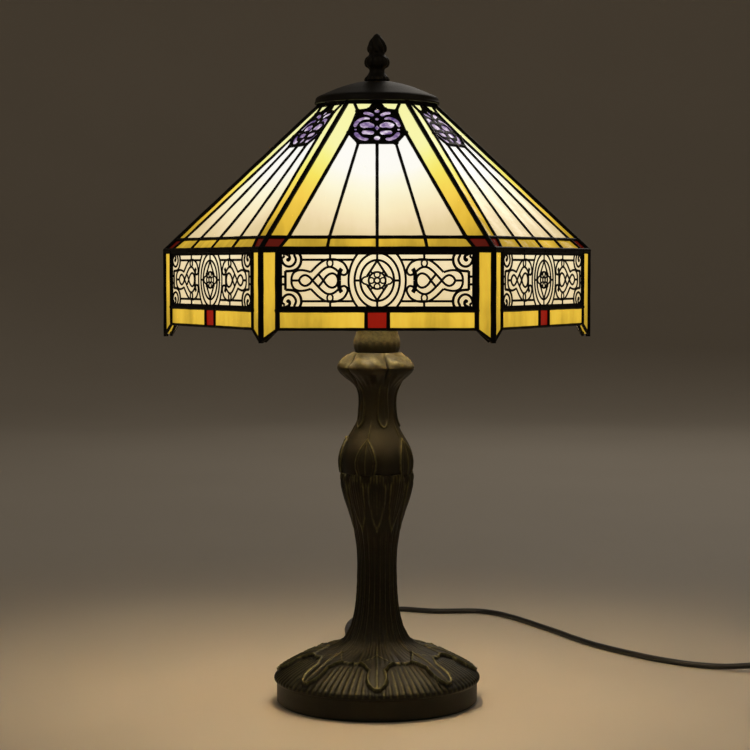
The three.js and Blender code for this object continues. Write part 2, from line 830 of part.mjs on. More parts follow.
// The glass openings in a skirt face's lead, right half or centred.
function skirtPieces() {
  const edge = roofHalf(0);
  const foot = -SKIRT_DROP;
  const strip = [
    [skirtStrip, foot],
    [edge, foot - LEG_DROP],
    [edge, 0],
    [skirtStrip, 0],
  ];
  const bottom = [
    [RED_HALF, foot],
    [skirtStrip, foot],
    [skirtStrip, -WINDOW_DROP],
    [RED_HALF, -WINDOW_DROP],
  ];
  const window = [
    [-skirtStrip, -WINDOW_DROP],
    [skirtStrip, -WINDOW_DROP],
    [skirtStrip, 0],
    [-skirtStrip, 0],
  ];
  const red = [
    [-RED_HALF, foot],
    [RED_HALF, foot],
    [RED_HALF, -WINDOW_DROP],
    [-RED_HALF, -WINDOW_DROP],
  ];
  return { sides: [strip, bottom], middle: [window, red] };
}

function clockwise(points) {
  return THREE.ShapeUtils.area(points.map(([x, y]) => ({ x, y }))) < 0;
}

function leadHole(points, width) {
  const ordered = clockwise(points) ? [...points].reverse() : points;
  return inset(ordered, width / 2);
}

// The lead of one roof face: a plate with an opening for each piece of glass.
function roofLead() {
  const holes = [];
  for (const piece of roofPieces()) {
    holes.push(leadHole(piece, LEAD));
    holes.push(leadHole(mirrored(piece), LEAD));
  }
  holes.push(leadHole(medallionOutline(), LEAD));
  const outer = [
    [-roofHalf(0), 0],
    [roofHalf(0), 0],
    [roofHalf(roofLength), roofLength],
    [-roofHalf(roofLength), roofLength],
  ];
  return plate(outer, LEAD_PROUD, holes).translate(0, 0, -LEAD_PROUD);
}

function skirtLead() {
  const { sides, middle } = skirtPieces();
  const holes = [];
  for (const piece of sides) {
    holes.push(leadHole(piece, LEAD));
    holes.push(leadHole(mirrored(piece), LEAD));
  }
  for (const piece of middle) holes.push(leadHole(piece, LEAD));
  const outer = skirtOutline(roofHalf(0), -SKIRT_DROP);
  return plate(outer, LEAD_PROUD, holes).translate(0, 0, -LEAD_PROUD);
}

// The stamped metal sheet in the window: rails, two oval rings and a pair of round loops a side.
function filigreeSheet() {
  const halfWide = skirtStrip - LEAD / 2 - GAP;
  const top = -LEAD / 2 - GAP;
  const foot = -WINDOW_DROP + LEAD / 2 + GAP;
  const middle = (top + foot) / 2;
  const halfHigh = (top - foot) / 2;
  const border = WINDOW_BORDER;
  const frame = [
    [-halfWide, foot],
    [halfWide, foot],
    [halfWide, top],
    [-halfWide, top],
  ];
  const ovalOuter = halfHigh - border;
  const holes = [];
  // A sector of the ring between two radii, clear of the cross bars at its ends.
  const sector = (outer, inner, from, span, steps) => {
    const points = [];
    const spare = 0.12;
    const step = (i) => from + spare + ((span - 2 * spare) * i) / steps;
    for (let i = 0; i <= steps; i++) points.push([outer, step(i)]);
    for (let i = steps; i >= 0; i--) points.push([inner, step(i)]);
    return points.map(([r, angle]) => [r * Math.cos(angle), middle + r * Math.sin(angle)]);
  };
  const ringWidth = ovalOuter * 0.22;
  for (let quarter = 0; quarter < 4; quarter++) {
    const from = (quarter * Math.PI) / 2;
    holes.push(sector(ovalOuter, ovalOuter - ringWidth, from, Math.PI / 2, 2));
    holes.push(sector(ovalOuter - ringWidth - 1.4, ovalOuter * 0.3, from, Math.PI / 2, 2));
  }
  const loop = 4.7;
  const rail = halfHigh - border;
  const railBar = loop + 1.5;
  for (const side of [-1, 1]) {
    const from = ovalOuter + border;
    const at = (share) => side * (from + (halfWide - border - from) * share);
    const box = (start, end, low, high) => {
      const left = Math.min(at(start), at(end));
      const right = Math.max(at(start), at(end));
      return [
        [left, middle + low],
        [right, middle + low],
        [right, middle + high],
        [left, middle + high],
      ];
    };
    holes.push(box(0, 0.48, railBar, rail), box(0.52, 1, railBar, rail));
    holes.push(box(0, 0.48, -rail, -railBar), box(0.52, 1, -rail, -railBar));
    holes.push(circle(loop, 6, at(0.25), middle), circle(loop, 6, at(0.55), middle));
    holes.push(box(0.74, 1, -loop, loop));
  }
  const sheetThick = 0.9;
  const sheet = plate(frame, sheetThick, holes);
  return sheet.translate(0, 0, -LEAD_PROUD + GAP / 2);
}

function buildShade() {
  const leads = [];
  for (let i = 0; i < SIDES; i++) {
    const roof = roofFrame(i);
    const skirt = skirtFrame(i);
    const number = i + 1;
    add(`roof_panel_${number}`, placed(roofGlass(), roof), whiteGlass);
    add(`medallion_${number}`, placed(medallionGlass(), roof), purpleGlass);
    add(`skirt_panel_${number}`, placed(skirtGlass(), skirt), amberGlass);
    add(`filigree_sheet_${number}`, placed(filigreeSheet(), skirt), lead);
    leads.push(placed(roofLead(), roof), placed(skirtLead(), skirt));
  }
  add("lead_frame", join(...leads), lead);
}

// ---- Wheel, cap and finial -------------------------------------------------------------------

function buildWheel() {
  const hubHole = STUD_RADIUS + 0.5;
  const hub = WHEEL_HUB;
  const rim = TOP_HALF * ROOT3 - WHEEL_INSET;
  const inner = rim - WHEEL_RIM;
  const holes = [circle(hubHole, 16)];
  const spare = 0.12;
  for (let i = 0; i < WHEEL_SPOKES; i++) {
    const from = (i * 2 * Math.PI) / WHEEL_SPOKES + spare;
    const span = (2 * Math.PI) / WHEEL_SPOKES - 2 * spare;
    const points = [];
    for (let j = 0; j <= 6; j++) {
      const angle = from + (span * j) / 6;
      points.push([inner * Math.cos(angle), inner * Math.sin(angle)]);
    }
    for (let j = 4; j >= 0; j--) {
      const angle = from + 0.15 + ((span - 0.3) * j) / 4;
      points.push([hub * Math.cos(angle), hub * Math.sin(angle)]);
    }
    holes.push(points);
  }
  add("shade_wheel", plate(circle(rim, 30), WHEEL_THICK, holes).translate(0, 0, wheelZ), brass);
}

const roofTop = bendZ + roofLength * roofRise;
const capRim = roofTop + 0.4;
const capCrown = capRim + CAP_RISE;
const capRadius = TOP_HALF * 2 + CAP_OVERHANG;

function capPoint(r, z, offset) {
  return [r - offset * 0.4, z - offset];
}

function buildCap() {
  const hole = STUD_RADIUS + 0.5;
  const crown = capCrown;
  const dome = [
    [hole, crown],
    [11.4, crown - 0.5],
    [20, crown - 2.6],
    [28.5, crown - 5.4],
    [capRadius - 5.1, crown - 9.8],
    [capRadius - 1.4, crown - 11.6],
    [capRadius, crown - 13],
    [capRadius, capRim],
  ];
  const under = dome.slice(1, -1).map(([r, z]) => capPoint(r, z, CAP_WALL)).reverse();
  const profile = [...dome, [capRadius - CAP_WALL, capRim], ...under, [hole, crown - CAP_WALL]];
  const vents = [];
  for (let i = 0; i < VENTS; i++) {
    const angle = (i * 2 * Math.PI) / VENTS - Math.PI / 2;
    const vent = rod(VENT_RADIUS, 4 * CAP_WALL + 4, 8);
    vents.push(vent.translate(VENT_RING * Math.cos(angle), VENT_RING * Math.sin(angle), crown - 2.2));
  }
  add("vase_cap", cut(revolve(profile.reverse(), 32), ...vents), capPaint);
  return crown;
}

function buildFinial(crown) {
  const foot = crown + GAP;
  const up = (share) => foot + FINIAL_HEIGHT * share;
  const hole = STUD_RADIUS + 0.4;
  const holeTop = foot + STUD_GRIP + 2.5;
  const profile = [
    [0, holeTop],
    [hole, holeTop],
    [hole, foot],
    [FINIAL_BALL, foot],
    [FINIAL_BALL, up(0.03)],
    [7, up(0.12)],
    [5.5, up(0.22)],
    [7.6, up(0.3)],
    [FINIAL_BALL, up(0.4)],
    [7.6, up(0.51)],
    [5.8, up(0.57)],
    [6.9, up(0.63)],
    [6.9, up(0.71)],
    [5.2, up(0.84)],
    [2.6, up(0.95)],
    [0, up(1)],
  ];
  add("finial", revolve(profile, 16), capPaint);
}

// ---- Cord and what is on it --------------------------------------------------------------------

function buildGland() {
  const bore = CORD_RADIUS + GAP;
  const inner = SKIRT_RADIUS - WALL - GLAND_SEAT;
  const face = SKIRT_RADIUS + GAP;
  const tip = face + GLAND_LENGTH - 2 * GAP;
  const profile = [
    [bore, inner - 3],
    [GLAND_FLANGE, inner - 3],
    [GLAND_FLANGE, inner],
    [GLAND_RADIUS, inner],
    [GLAND_RADIUS, face],
    [GLAND_FLANGE, face],
    [GLAND_FLANGE, face + 2.5],
    [GLAND_RADIUS, face + 3.5],
    [bore + 0.6, tip],
    [bore, tip],
  ];
  const bush = revolve(profile, 16).rotateX(-Math.PI / 2).translate(0, 0, CORD_EXIT_Z);
  add("cord_gland", bush, blackPlastic);
}

// The mains cord inside the lamp, from the gland to the lamp holder through the pipe.
function buildInnerCord() {
  const z = CORD_EXIT_Z;
  const start = SKIRT_RADIUS - WALL - GLAND_SEAT - 3 - GAP;
  const bend = 24;
  const path = new THREE.CurvePath();
  const v = (y, height) => new THREE.Vector3(0, y, height);
  path.add(new THREE.LineCurve3(v(start, z), v(bend, z)));
  path.add(new THREE.QuadraticBezierCurve3(v(bend, z), v(1, z), v(0, pipeFoot - 1)));
  path.add(new THREE.LineCurve3(v(0, pipeFoot - 1), v(0, pipeHead + 2)));
  add("inner_cord", bar(path, CORD_RADIUS, 26), cordSkin);
}

const alongSwitch = (distance, across = 0) => [
  SWITCH_CENTRE[0] + distance * Math.cos(SWITCH_ANGLE) - across * Math.sin(SWITCH_ANGLE),
  SWITCH_CENTRE[1] + distance * Math.sin(SWITCH_ANGLE) + across * Math.cos(SWITCH_ANGLE),
];

function buildSwitch() {
  const half = SWITCH_LENGTH / 2;
  const wide = SWITCH_WIDTH / 2;
  const oval = (grow) => {
    const points = [];
    for (let i = 0; i < 28; i++) {
      const angle = (i * 2 * Math.PI) / 28;
      const c = Math.cos(angle);
      const s = Math.sin(angle);
      const x = (half + grow) * Math.sign(c) * Math.abs(c) ** 0.55;
      const y = (wide + grow) * Math.sign(s) * Math.abs(s) ** 0.75;
      points.push([x, y]);
    }
    return points;
  };
  const split = SWITCH_AXIS_Z;
  const bore = (x) =>
    rod(CORD_RADIUS + GAP, 12, 12).rotateY(Math.PI / 2).translate(x, 0, SWITCH_AXIS_Z + GAP / 2);
  const turned = (geometry) =>
    geometry.rotateZ(SWITCH_ANGLE).translate(SWITCH_CENTRE[0], SWITCH_CENTRE[1], 0);
  const lowerHeight = split - 0.2;
  const lower = cut(
    prism(oval(0), lowerHeight).translate(0, 0, 0.2),
    prism(oval(-SWITCH_WALL), split).translate(0, 0, 0.2 + SWITCH_WALL),
    bore(-half),
    bore(half),
  );
  add("switch_lower_shell", turned(lower), blackPlastic);
  const upperBase = split + GAP;
  const upperHeight = SWITCH_HEIGHT - upperBase;
  const window = new THREE.BoxGeometry(
    ROCKER_LENGTH + 2 * ROCKER_FIT + 0.6,
    ROCKER_WIDTH + 2 * ROCKER_FIT,
    SWITCH_HEIGHT,
  ).translate(0, 0, SWITCH_HEIGHT);
  const upper = cut(
    prism(oval(0), upperHeight).translate(0, 0, upperBase),
    prism(oval(-SWITCH_WALL), upperHeight - SWITCH_WALL).translate(0, 0, upperBase - 0.01),
    bore(-half),
    bore(half),
    window,
  );
  add("switch_upper_shell", turned(upper), blackPlastic);
  const hl = ROCKER_LENGTH / 2;
  const pivot = SWITCH_HEIGHT - 3;
  const section = [
    [-hl, pivot - 2.5],
    [hl, pivot - 2.5],
    [hl, pivot + 4.2],
    [0, pivot + 3.2],
    [-hl, pivot + 4.2],
  ];
  const rocker = prism(section, ROCKER_WIDTH).translate(0, 0, -ROCKER_WIDTH / 2);
  rocker.rotateX(Math.PI / 2).translate(0, 0, -pivot).rotateY(ROCKER_TILT).translate(0, 0, pivot);
  add("switch_rocker", turned(rocker), blackPlastic);
}

function buildCord() {
  add("cord_lead", bar(curveThrough(CORD_ROUTE), CORD_RADIUS, 62), cordSkin);
  add("cord_tail", bar(curveThrough(CORD_TAIL), CORD_RADIUS, 4), cordSkin);
}

const coilOuter = COIL_INNER + COIL_PITCH * COIL_LAYER_TURNS;
const coilCentre = [
  COIL_ENTRY[0] + coilOuter * Math.sin(SWITCH_ANGLE),
  COIL_ENTRY[1] - coilOuter * Math.cos(SWITCH_ANGLE),
];

// How far from the coil's tangent point a straight lead stays clear of the coil.
const coilLeave = Math.sqrt((coilOuter + 2 * CORD_RADIUS + 2 * GAP) ** 2 - coilOuter ** 2);

function buildCoil() {
  const low = CORD_REST - CORD_RADIUS;
  const high = CORD_REST + COIL_PITCH + CORD_RADIUS;
  const inner = COIL_INNER - CORD_RADIUS;
  const outer = coilOuter + CORD_RADIUS;
  const ring = [
    [inner, low],
    [outer, low],
    [outer, high],
    [inner, high],
  ];
  add("cord_coil", revolve(ring, 32).translate(coilCentre[0], coilCentre[1], 0), cordSkin);
}

function buildPlug() {
  const x = coilCentre[0] + coilOuter;
  const start = coilCentre[1];
  const axisZ = PLUG_HEIGHT / 2 + 0.2;
  const neckEnd = start - PLUG_LEAD;
  const lead = [
    [x, start - coilLeave, 5.2],
    [x, start - coilLeave - 12, 3],
    [x, start - coilLeave - 24, CORD_REST + 0.2],
    [x, neckEnd + 36, CORD_REST + 0.2],
    [x, neckEnd + 22, 3.8],
    [x, neckEnd + 10, 6.4],
    [x, neckEnd + GAP, axisZ],
  ];
  add("cord_plug_lead", bar(curveThrough(lead), CORD_RADIUS, 8), cordSkin);
  const bodyFace = neckEnd - PLUG_NECK;
  const w = PLUG_WIDTH / 2;
  const h = PLUG_HEIGHT / 2;
  const corner = 3;
  const section = [
    [w, h - corner],
    [w - corner, h],
    [-w + corner, h],
    [-w, h - corner],
    [-w, -h + corner],
    [-w + corner, -h],
    [w - corner, -h],
    [w, -h + corner],
  ];
  const block = prism(section, PLUG_LENGTH).rotateX(Math.PI / 2).translate(x, bodyFace + 1, axisZ);
  const neck = new THREE.CylinderGeometry(CORD_RADIUS + 0.8, CORD_RADIUS + 3, PLUG_NECK, 16);
  neck.translate(x, neckEnd - PLUG_NECK / 2, axisZ);
  const face = bodyFace + 1 - PLUG_LENGTH;
  const blades = [-1, 1].map((side) =>
    new THREE.BoxGeometry(BLADE[1], BLADE[2], BLADE[0]).translate(
      x + (side * BLADE_PITCH) / 2,
      face - GAP - BLADE[2] / 2,
      axisZ,
    ),
  );
  add("plug_body", join(block, neck), blackPlastic);
  add("plug_blade_left", blades[0], brass);
  add("plug_blade_right", blades[1], brass);
}

// ---- Assembly --------------------------------------------------------------------------------

buildPad();
buildFoot();
buildWeight();
buildColumn();
buildCup();
buildPipe();
buildWasher();
buildNut("bottom_lock_nut", lowerNutZ);
buildNut("top_lock_nut", topNutZ);
buildSaddle();
buildHolder();
buildBulb();
buildHarp();
buildSleeve("harp_sleeve_left", -1);
buildSleeve("harp_sleeve_right", 1);
buildStud();
buildShade();
buildWheel();
buildFinial(buildCap());
buildGland();
buildInnerCord();
buildCord();
buildSwitch();
buildCoil();
buildPlug();

export default lamp;
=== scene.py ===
import bmesh
import bpy
import numpy as np
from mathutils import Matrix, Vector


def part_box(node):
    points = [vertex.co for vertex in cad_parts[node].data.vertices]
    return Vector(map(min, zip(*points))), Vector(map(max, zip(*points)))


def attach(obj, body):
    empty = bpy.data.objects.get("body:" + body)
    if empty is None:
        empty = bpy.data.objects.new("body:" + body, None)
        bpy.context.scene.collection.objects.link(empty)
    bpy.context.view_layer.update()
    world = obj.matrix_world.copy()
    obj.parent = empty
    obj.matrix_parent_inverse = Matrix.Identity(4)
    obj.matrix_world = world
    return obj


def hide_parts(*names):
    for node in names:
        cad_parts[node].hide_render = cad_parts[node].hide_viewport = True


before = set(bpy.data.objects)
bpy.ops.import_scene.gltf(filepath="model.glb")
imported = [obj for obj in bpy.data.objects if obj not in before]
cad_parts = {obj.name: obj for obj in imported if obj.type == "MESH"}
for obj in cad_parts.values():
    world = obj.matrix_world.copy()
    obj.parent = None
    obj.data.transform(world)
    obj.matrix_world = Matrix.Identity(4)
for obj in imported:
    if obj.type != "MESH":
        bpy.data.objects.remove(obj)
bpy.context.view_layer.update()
rng = np.random.default_rng(7)

# ---- Camera, floor and light ---------------------------------------------------------------------
# The lamp stands on a plain pale floor that curves up into a round wall, so every side has the
# same backdrop. Two soft warm lights are kept low, so that the lamp's own bulb can be seen to glow.
MM = 0.001
CAMERA_AT = (-0.0014, -1.4042, 0.3113)
CAMERA_PITCH = np.radians(3.118)
CAMERA_LENS = 94.46
WALL_RADIUS = 4.2
WALL_HEIGHT = 3.4
FLOOR_RADIUS = 2.6


def place(name, data):
    """Puts data in the scene as an object at the origin."""
    piece = bpy.data.objects.new(name, data)
    bpy.context.scene.collection.objects.link(piece)
    return piece


def paint(red, green, blue):
    """Screen colour from 0 to 255 as scene-linear light, by the sRGB curve."""
    share = np.array([red, green, blue]) / 255
    low = share / 12.92
    high = ((share + 0.055) / 1.055) ** 2.4
    return (*np.where(share <= 0.04045, low, high), 1.0)


camera = place("camera", bpy.data.cameras.new("camera"))
camera.data.lens = CAMERA_LENS
camera.data.sensor_width = 36
camera.location = CAMERA_AT
camera.rotation_euler = (np.pi / 2 - CAMERA_PITCH, 0, 0)
bpy.context.scene.camera = camera
bpy.context.scene.view_settings.view_transform = "Standard"


def grid_faces(rows, columns, close_rows=False, close_columns=False):
    """Quads between neighbours of a grid whose vertices are numbered row by row."""
    index = np.arange(rows * columns).reshape(rows, columns)
    if close_columns:
        index = np.concatenate([index, index[:, :1]], axis=1)
    if close_rows:
        index = np.concatenate([index, index[:1]], axis=0)
    corners = [index[:-1, :-1], index[:-1, 1:], index[1:, 1:], index[1:, :-1]]
    return np.stack(corners, axis=-1).reshape(-1, 4)


def outward(points, faces):
    """The faces, turned over if the volume they enclose comes out negative."""
    a, b, c, d = (points[faces[:, i]] for i in range(4))
    volume = np.einsum("ij,ij->", a, np.cross(b, c)) + np.einsum("ij,ij->", a, np.cross(c, d))
    return faces if volume >= 0 else faces[:, ::-1]


def make(name, points, faces, finish, body=None, marks=None, sharp=None):
    """A mesh piece in metres. marks are values on its vertices, kept as attributes."""
    mesh = bpy.data.meshes.new(name)
    mesh.from_pydata(points.tolist(), [], faces.tolist())
    for mark, values in (marks or {}).items():
        kind = "FLOAT" if values.ndim == 1 else "FLOAT_VECTOR"
        layer = mesh.attributes.new(mark, kind, "POINT")
        layer.data.foreach_set("value" if values.ndim == 1 else "vector", values.ravel())
    merged = bmesh.new()
    merged.from_mesh(mesh)
    bmesh.ops.remove_doubles(merged, verts=merged.verts, dist=1e-7)
    merged.to_mesh(mesh)
    merged.free()
    mesh.shade_smooth()
    if sharp:
        mesh.set_sharp_from_angle(angle=np.radians(sharp))
    mesh.materials.append(finish)
    piece = place(name, mesh)
    if body:
        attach(piece, body)
    return piece


def nodes_of(name):
    """A new material with its node tree and its Principled shader."""
    material = bpy.data.materials.new(name)
    material.use_nodes = True
    return material, material.node_tree, material.node_tree.nodes["Principled BSDF"]


def noise(tree, scale, detail=3.0, vector=None, roughness=0.5):
    """Noise texture over the piece's own coordinates, or over another vector."""
    texture = tree.nodes.new("ShaderNodeTexNoise")
    texture.inputs["Scale"].default_value = scale
    texture.inputs["Detail"].default_value = detail
    texture.inputs["Roughness"].default_value = roughness
    if vector is None:
        vector = tree.nodes.new("ShaderNodeTexCoord").outputs["Object"]
    tree.links.new(vector, texture.inputs["Vector"])
    return texture.outputs["Fac"]


def ramp(tree, value, stops):
    """Colour for a value, from (place, colour) stops."""
    node = tree.nodes.new("ShaderNodeValToRGB")
    ends = node.color_ramp.elements
    while len(ends) < len(stops):
        ends.new(0.5)
    for end, (at, color) in zip(ends, stops):
        end.position = at
        end.color = color
    tree.links.new(value, node.inputs["Fac"])
    return node.outputs["Color"]


def spread(tree, value, low, high, start=0.0, stop=1.0):
    """The value carried from the range start..stop to low..high."""
    node = tree.nodes.new("ShaderNodeMapRange")
    node.inputs["From Min"].default_value = start
    node.inputs["From Max"].default_value = stop
    node.inputs["To Min"].default_value = low
    node.inputs["To Max"].default_value = high
    tree.links.new(value, node.inputs["Value"])
    return node.outputs["Result"]


def bump(tree, shader, height, depth, strength=1.0):
    """Height as relief of the given depth in metres, into the shader's normal."""
    node = tree.nodes.new("ShaderNodeBump")
    node.inputs["Distance"].default_value = depth
    node.inputs["Strength"].default_value = strength
    tree.links.new(height, node.inputs["Height"])
    tree.links.new(node.outputs["Normal"], shader.inputs["Normal"])


def new_group(name, takes, gives):
    """An empty shader node group with named sockets, and its input and output nodes."""
    group = bpy.data.node_groups.new(name, "ShaderNodeTree")
    for way, sockets in (("INPUT", takes), ("OUTPUT", gives)):
        for label, kind in sockets:
            group.interface.new_socket(name=label, in_out=way, socket_type=f"NodeSocket{kind}")
    return group, group.nodes.new("NodeGroupInput"), group.nodes.new("NodeGroupOutput")


def use_group(tree, group, **values):
    """The group placed in a material, with its inputs set by name; a socket is linked instead."""
    node = tree.nodes.new("ShaderNodeGroup")
    node.node_tree = group
    for label, value in values.items():
        if isinstance(value, bpy.types.NodeSocket):
            tree.links.new(value, node.inputs[label])
        else:
            node.inputs[label].default_value = value
    return node.outputs


def drifting_tones():
    """Clouds of noise that carry a dark tone into a light one, and a finer noise for the skin. The
    light tone's share is the cloud's value carried from Low..High to 0..1."""
    takes = [("Dark", "Color"), ("Light", "Color"), ("Low", "Float"), ("High", "Float"),
             ("Cloud_Scale", "Float"),
             ("Cloud_Detail", "Float"), ("Grain_Scale", "Float"), ("Grain_Detail", "Float")]
    group, given, result = new_group("drifting_tones", takes,
                                     [("Color", "Color"), ("Cloud", "Float"), ("Grain", "Float")])
    for kind in ("Cloud", "Grain"):
        fac = noise(group, 1.0)
        texture = fac.node
        group.links.new(given.outputs[f"{kind}_Scale"], texture.inputs["Scale"])
        group.links.new(given.outputs[f"{kind}_Detail"], texture.inputs["Detail"])
        group.links.new(fac, result.inputs[kind])
        if kind == "Cloud":
            share = spread(group, fac, 0.0, 1.0)
            group.links.new(given.outputs["Low"], share.node.inputs["From Min"])
            group.links.new(given.outputs["High"], share.node.inputs["From Max"])
    group.links.new(two_tone(group, share, given.outputs["Dark"], given.outputs["Light"]),
                    result.inputs["Color"])
    return group


def two_tone(tree, share, first, second):
    """Colour between two colours, by the second's share."""
    mix = tree.nodes.new("ShaderNodeMix")
    mix.data_type = "RGBA"
    tree.links.new(share, mix.inputs["Factor"])
    tree.links.new(first, mix.inputs[6])
    tree.links.new(second, mix.inputs[7])
    return mix.outputs[2]


DRIFT = drifting_tones()


def tones(tree, dark, light, cloud, grain, detail=(3.0, 3.0), reach=(0.3, 0.7)):
    """The drifting tones with their values: colour, cloud and grain."""
    made = use_group(tree, DRIFT, Dark=paint(*dark), Light=paint(*light), Low=reach[0], High=reach[1],
                     Cloud_Scale=cloud, Cloud_Detail=detail[0], Grain_Scale=grain, Grain_Detail=detail[1])
    return made["Color"], made["Cloud"], made["Grain"]


def mottled(name, dark, light, roughness, metallic=0.0, scale=90.0, depth=0.0, spread_by=0.12):
    """Finish whose colour drifts between two near tones, with roughness drifting too and a grain."""
    material, tree, shader = nodes_of(name)
    color, cloud, grain = tones(tree, dark, light, scale, scale * 9, detail=(3.0, 2.0))
    tree.links.new(color, shader.inputs["Base Color"])
    rough = spread(tree, cloud, roughness - spread_by, roughness + spread_by, 0.25, 0.75)
    tree.links.new(rough, shader.inputs["Roughness"])
    shader.inputs["Metallic"].default_value = metallic
    if depth:
        bump(tree, shader, grain, depth)
    return material


def bowl():
    """Floor disc, a quarter-round sweep and an upright wall, turned about the vertical axis."""
    sweep = np.linspace(0, np.pi / 2, 24)
    bend = WALL_RADIUS - FLOOR_RADIUS
    radius = np.concatenate([[0, 0.6, 1.4], FLOOR_RADIUS + bend * np.sin(sweep), [WALL_RADIUS]])
    height = np.concatenate([[0, 0, 0], bend * (1 - np.cos(sweep)), [WALL_HEIGHT]])
    turn = np.linspace(0, 2 * np.pi, 96, endpoint=False)
    x = radius[:, None] * np.cos(turn)
    y = radius[:, None] * np.sin(turn)
    z = np.repeat(height[:, None], len(turn), axis=1)
    points = np.stack([x, y, z], axis=-1).reshape(-1, 3)
    return points, grid_faces(len(radius), len(turn), close_columns=True)[:, ::-1]


floor_paint = mottled("studio_floor", (214, 204, 188), (218, 208, 192), 0.62, scale=3.0, spread_by=0.04)
floor_points, floor_quads = bowl()
floor = make("studio_floor", floor_points, floor_quads, floor_paint)


def soft_light(name, at, aim, size, power, color):
    """Square area lamp at a place, turned so that its face looks at the aim."""
    lamp = bpy.data.lights.new(name, "AREA")
    lamp.size = size
    lamp.energy = power
    lamp.color = color
    piece = place(name, lamp)
    piece.location = at
    away = np.array(at) - np.array(aim)
    flat = np.hypot(away[0], away[1])
    piece.rotation_euler = (np.arctan2(flat, away[2]), 0, np.arctan2(away[0], -away[1]))
    return piece


WARM = (1.0, 0.93, 0.84)
soft_light("key_light", (-1.5, -1.9, 1.9), (0, 0, 0.2), 1.3, 2.7, WARM)
soft_light("fill_light", (1.9, -0.9, 1.4), (0, 0, 0.2), 1.5, 1.5, WARM)
soft_light("back_light", (0.6, 2.0, 1.7), (0, 0, 0.2), 1.3, 6, WARM)
world = bpy.data.worlds.new("studio")
world.use_nodes = True
world.node_tree.nodes["Background"].inputs["Color"].default_value = (0.80, 0.72, 0.62, 1)
world.node_tree.nodes["Background"].inputs["Strength"].default_value = 0.09
bpy.context.scene.world = world

# ---- Mains cord ----------------------------------------------------------------------------------
# Black round two-core cable, 4.6 mm thick and 1.8 m long. It leaves the back of the foot, lies on
# the table in slow bends to an inline switch, and the rest is wound in a tied coil with the plug.
CORD_RADIUS = 2.3 * MM
CORD_REST = 2.4 * MM
CORD_ROUTE = np.array([
    [0, 0.1003, 0.009], [-0.0003, 0.112, 0.0087], [-0.002, 0.126, 0.0066],
    [-0.005, 0.142, 0.0039], [-0.009, 0.158, 0.0026], [-0.013, 0.174, 0.0024],
    [-0.018, 0.198, 0.0024], [-0.0225, 0.224, 0.0024], [-0.0245, 0.25, 0.0024],
    [-0.0248, 0.276, 0.0024], [-0.022, 0.302, 0.0024], [-0.0155, 0.327, 0.0024],
    [-0.005, 0.348, 0.0024], [0.008, 0.362, 0.0024], [0.022, 0.366, 0.0024],
    [0.037, 0.361, 0.0024], [0.053, 0.3555, 0.0024], [0.072, 0.356, 0.0024],
    [0.09, 0.356, 0.0024], [0.104, 0.3475, 0.0024], [0.117, 0.33, 0.0024],
    [0.13, 0.305, 0.0024], [0.142, 0.279, 0.0024], [0.1545, 0.2515, 0.0024],
    [0.166, 0.224, 0.0024], [0.18, 0.195, 0.0024], [0.201, 0.164, 0.0024],
    [0.224, 0.1355, 0.0024], [0.249, 0.115, 0.0024], [0.27, 0.1052, 0.003],
    [0.284, 0.1, 0.0046], [0.2986, 0.0947, 0.0065],
])
CORD_TAIL = np.array([
    [0.3574, 0.0733, 0.0065], [0.366, 0.0702, 0.0052], [0.375, 0.0669, 0.0032],
    [0.3843, 0.0635, 0.0024],
])
COIL_ENTRY = np.array([0.402, 0.057])
COIL_HEADING = np.radians(-20)
COIL_INNER = 22 * MM
COIL_PITCH = 4.6 * MM
COIL_TURNS = 2.42
COIL_RISE_TURNS = 0.354
PLUG_LEAD = 101 * MM
coil_outer = COIL_INNER + COIL_PITCH * COIL_TURNS
coil_centre = COIL_ENTRY + coil_outer * np.array([np.sin(COIL_HEADING), -np.cos(COIL_HEADING)])


def coil_route():
    """Clockwise spiral: inwards on the table, a step up at the inner radius, outwards on top."""
    layer = int(16 * COIL_TURNS)
    inwards = np.linspace(0, COIL_TURNS, layer, endpoint=False)
    rising = np.linspace(0, COIL_RISE_TURNS, 7, endpoint=False)
    outwards = np.linspace(0, COIL_TURNS, layer + 1)
    turns = np.concatenate([inwards, COIL_TURNS + rising, COIL_TURNS + COIL_RISE_TURNS + outwards])
    radius = np.concatenate([
        coil_outer - COIL_PITCH * inwards,
        np.full(len(rising), COIL_INNER),
        COIL_INNER + COIL_PITCH * outwards,
    ])
    step = rising / COIL_RISE_TURNS
    height = np.concatenate([
        np.full(layer, CORD_REST),
        CORD_REST + COIL_PITCH * step * step * (3 - 2 * step),
        np.full(layer + 1, CORD_REST + COIL_PITCH),
    ])
    angle = np.pi / 2 + COIL_HEADING - 2 * np.pi * turns
    x = coil_centre[0] + radius * np.cos(angle)
    y = coil_centre[1] + radius * np.sin(angle)
    return np.stack([x, y, height], axis=-1)


plug_x = coil_centre[0] + coil_outer
plug_neck_y = coil_centre[1] - PLUG_LEAD
plug_axis_z = 7.7 * MM
PLUG_ROUTE = np.array([
    [plug_x, coil_centre[1] - 19.28 * MM, 5.2 * MM],
    [plug_x, coil_centre[1] - 31.28 * MM, 3.2 * MM],
    [plug_x, coil_centre[1] - 43.28 * MM, 2.6 * MM],
    [plug_x, plug_neck_y + 36 * MM, 2.6 * MM],
    [plug_x, plug_neck_y + 22 * MM, 3.8 * MM],
    [plug_x, plug_neck_y + 10 * MM, 6.4 * MM],
    [plug_x, plug_neck_y + 0.3 * MM, plug_axis_z],
])


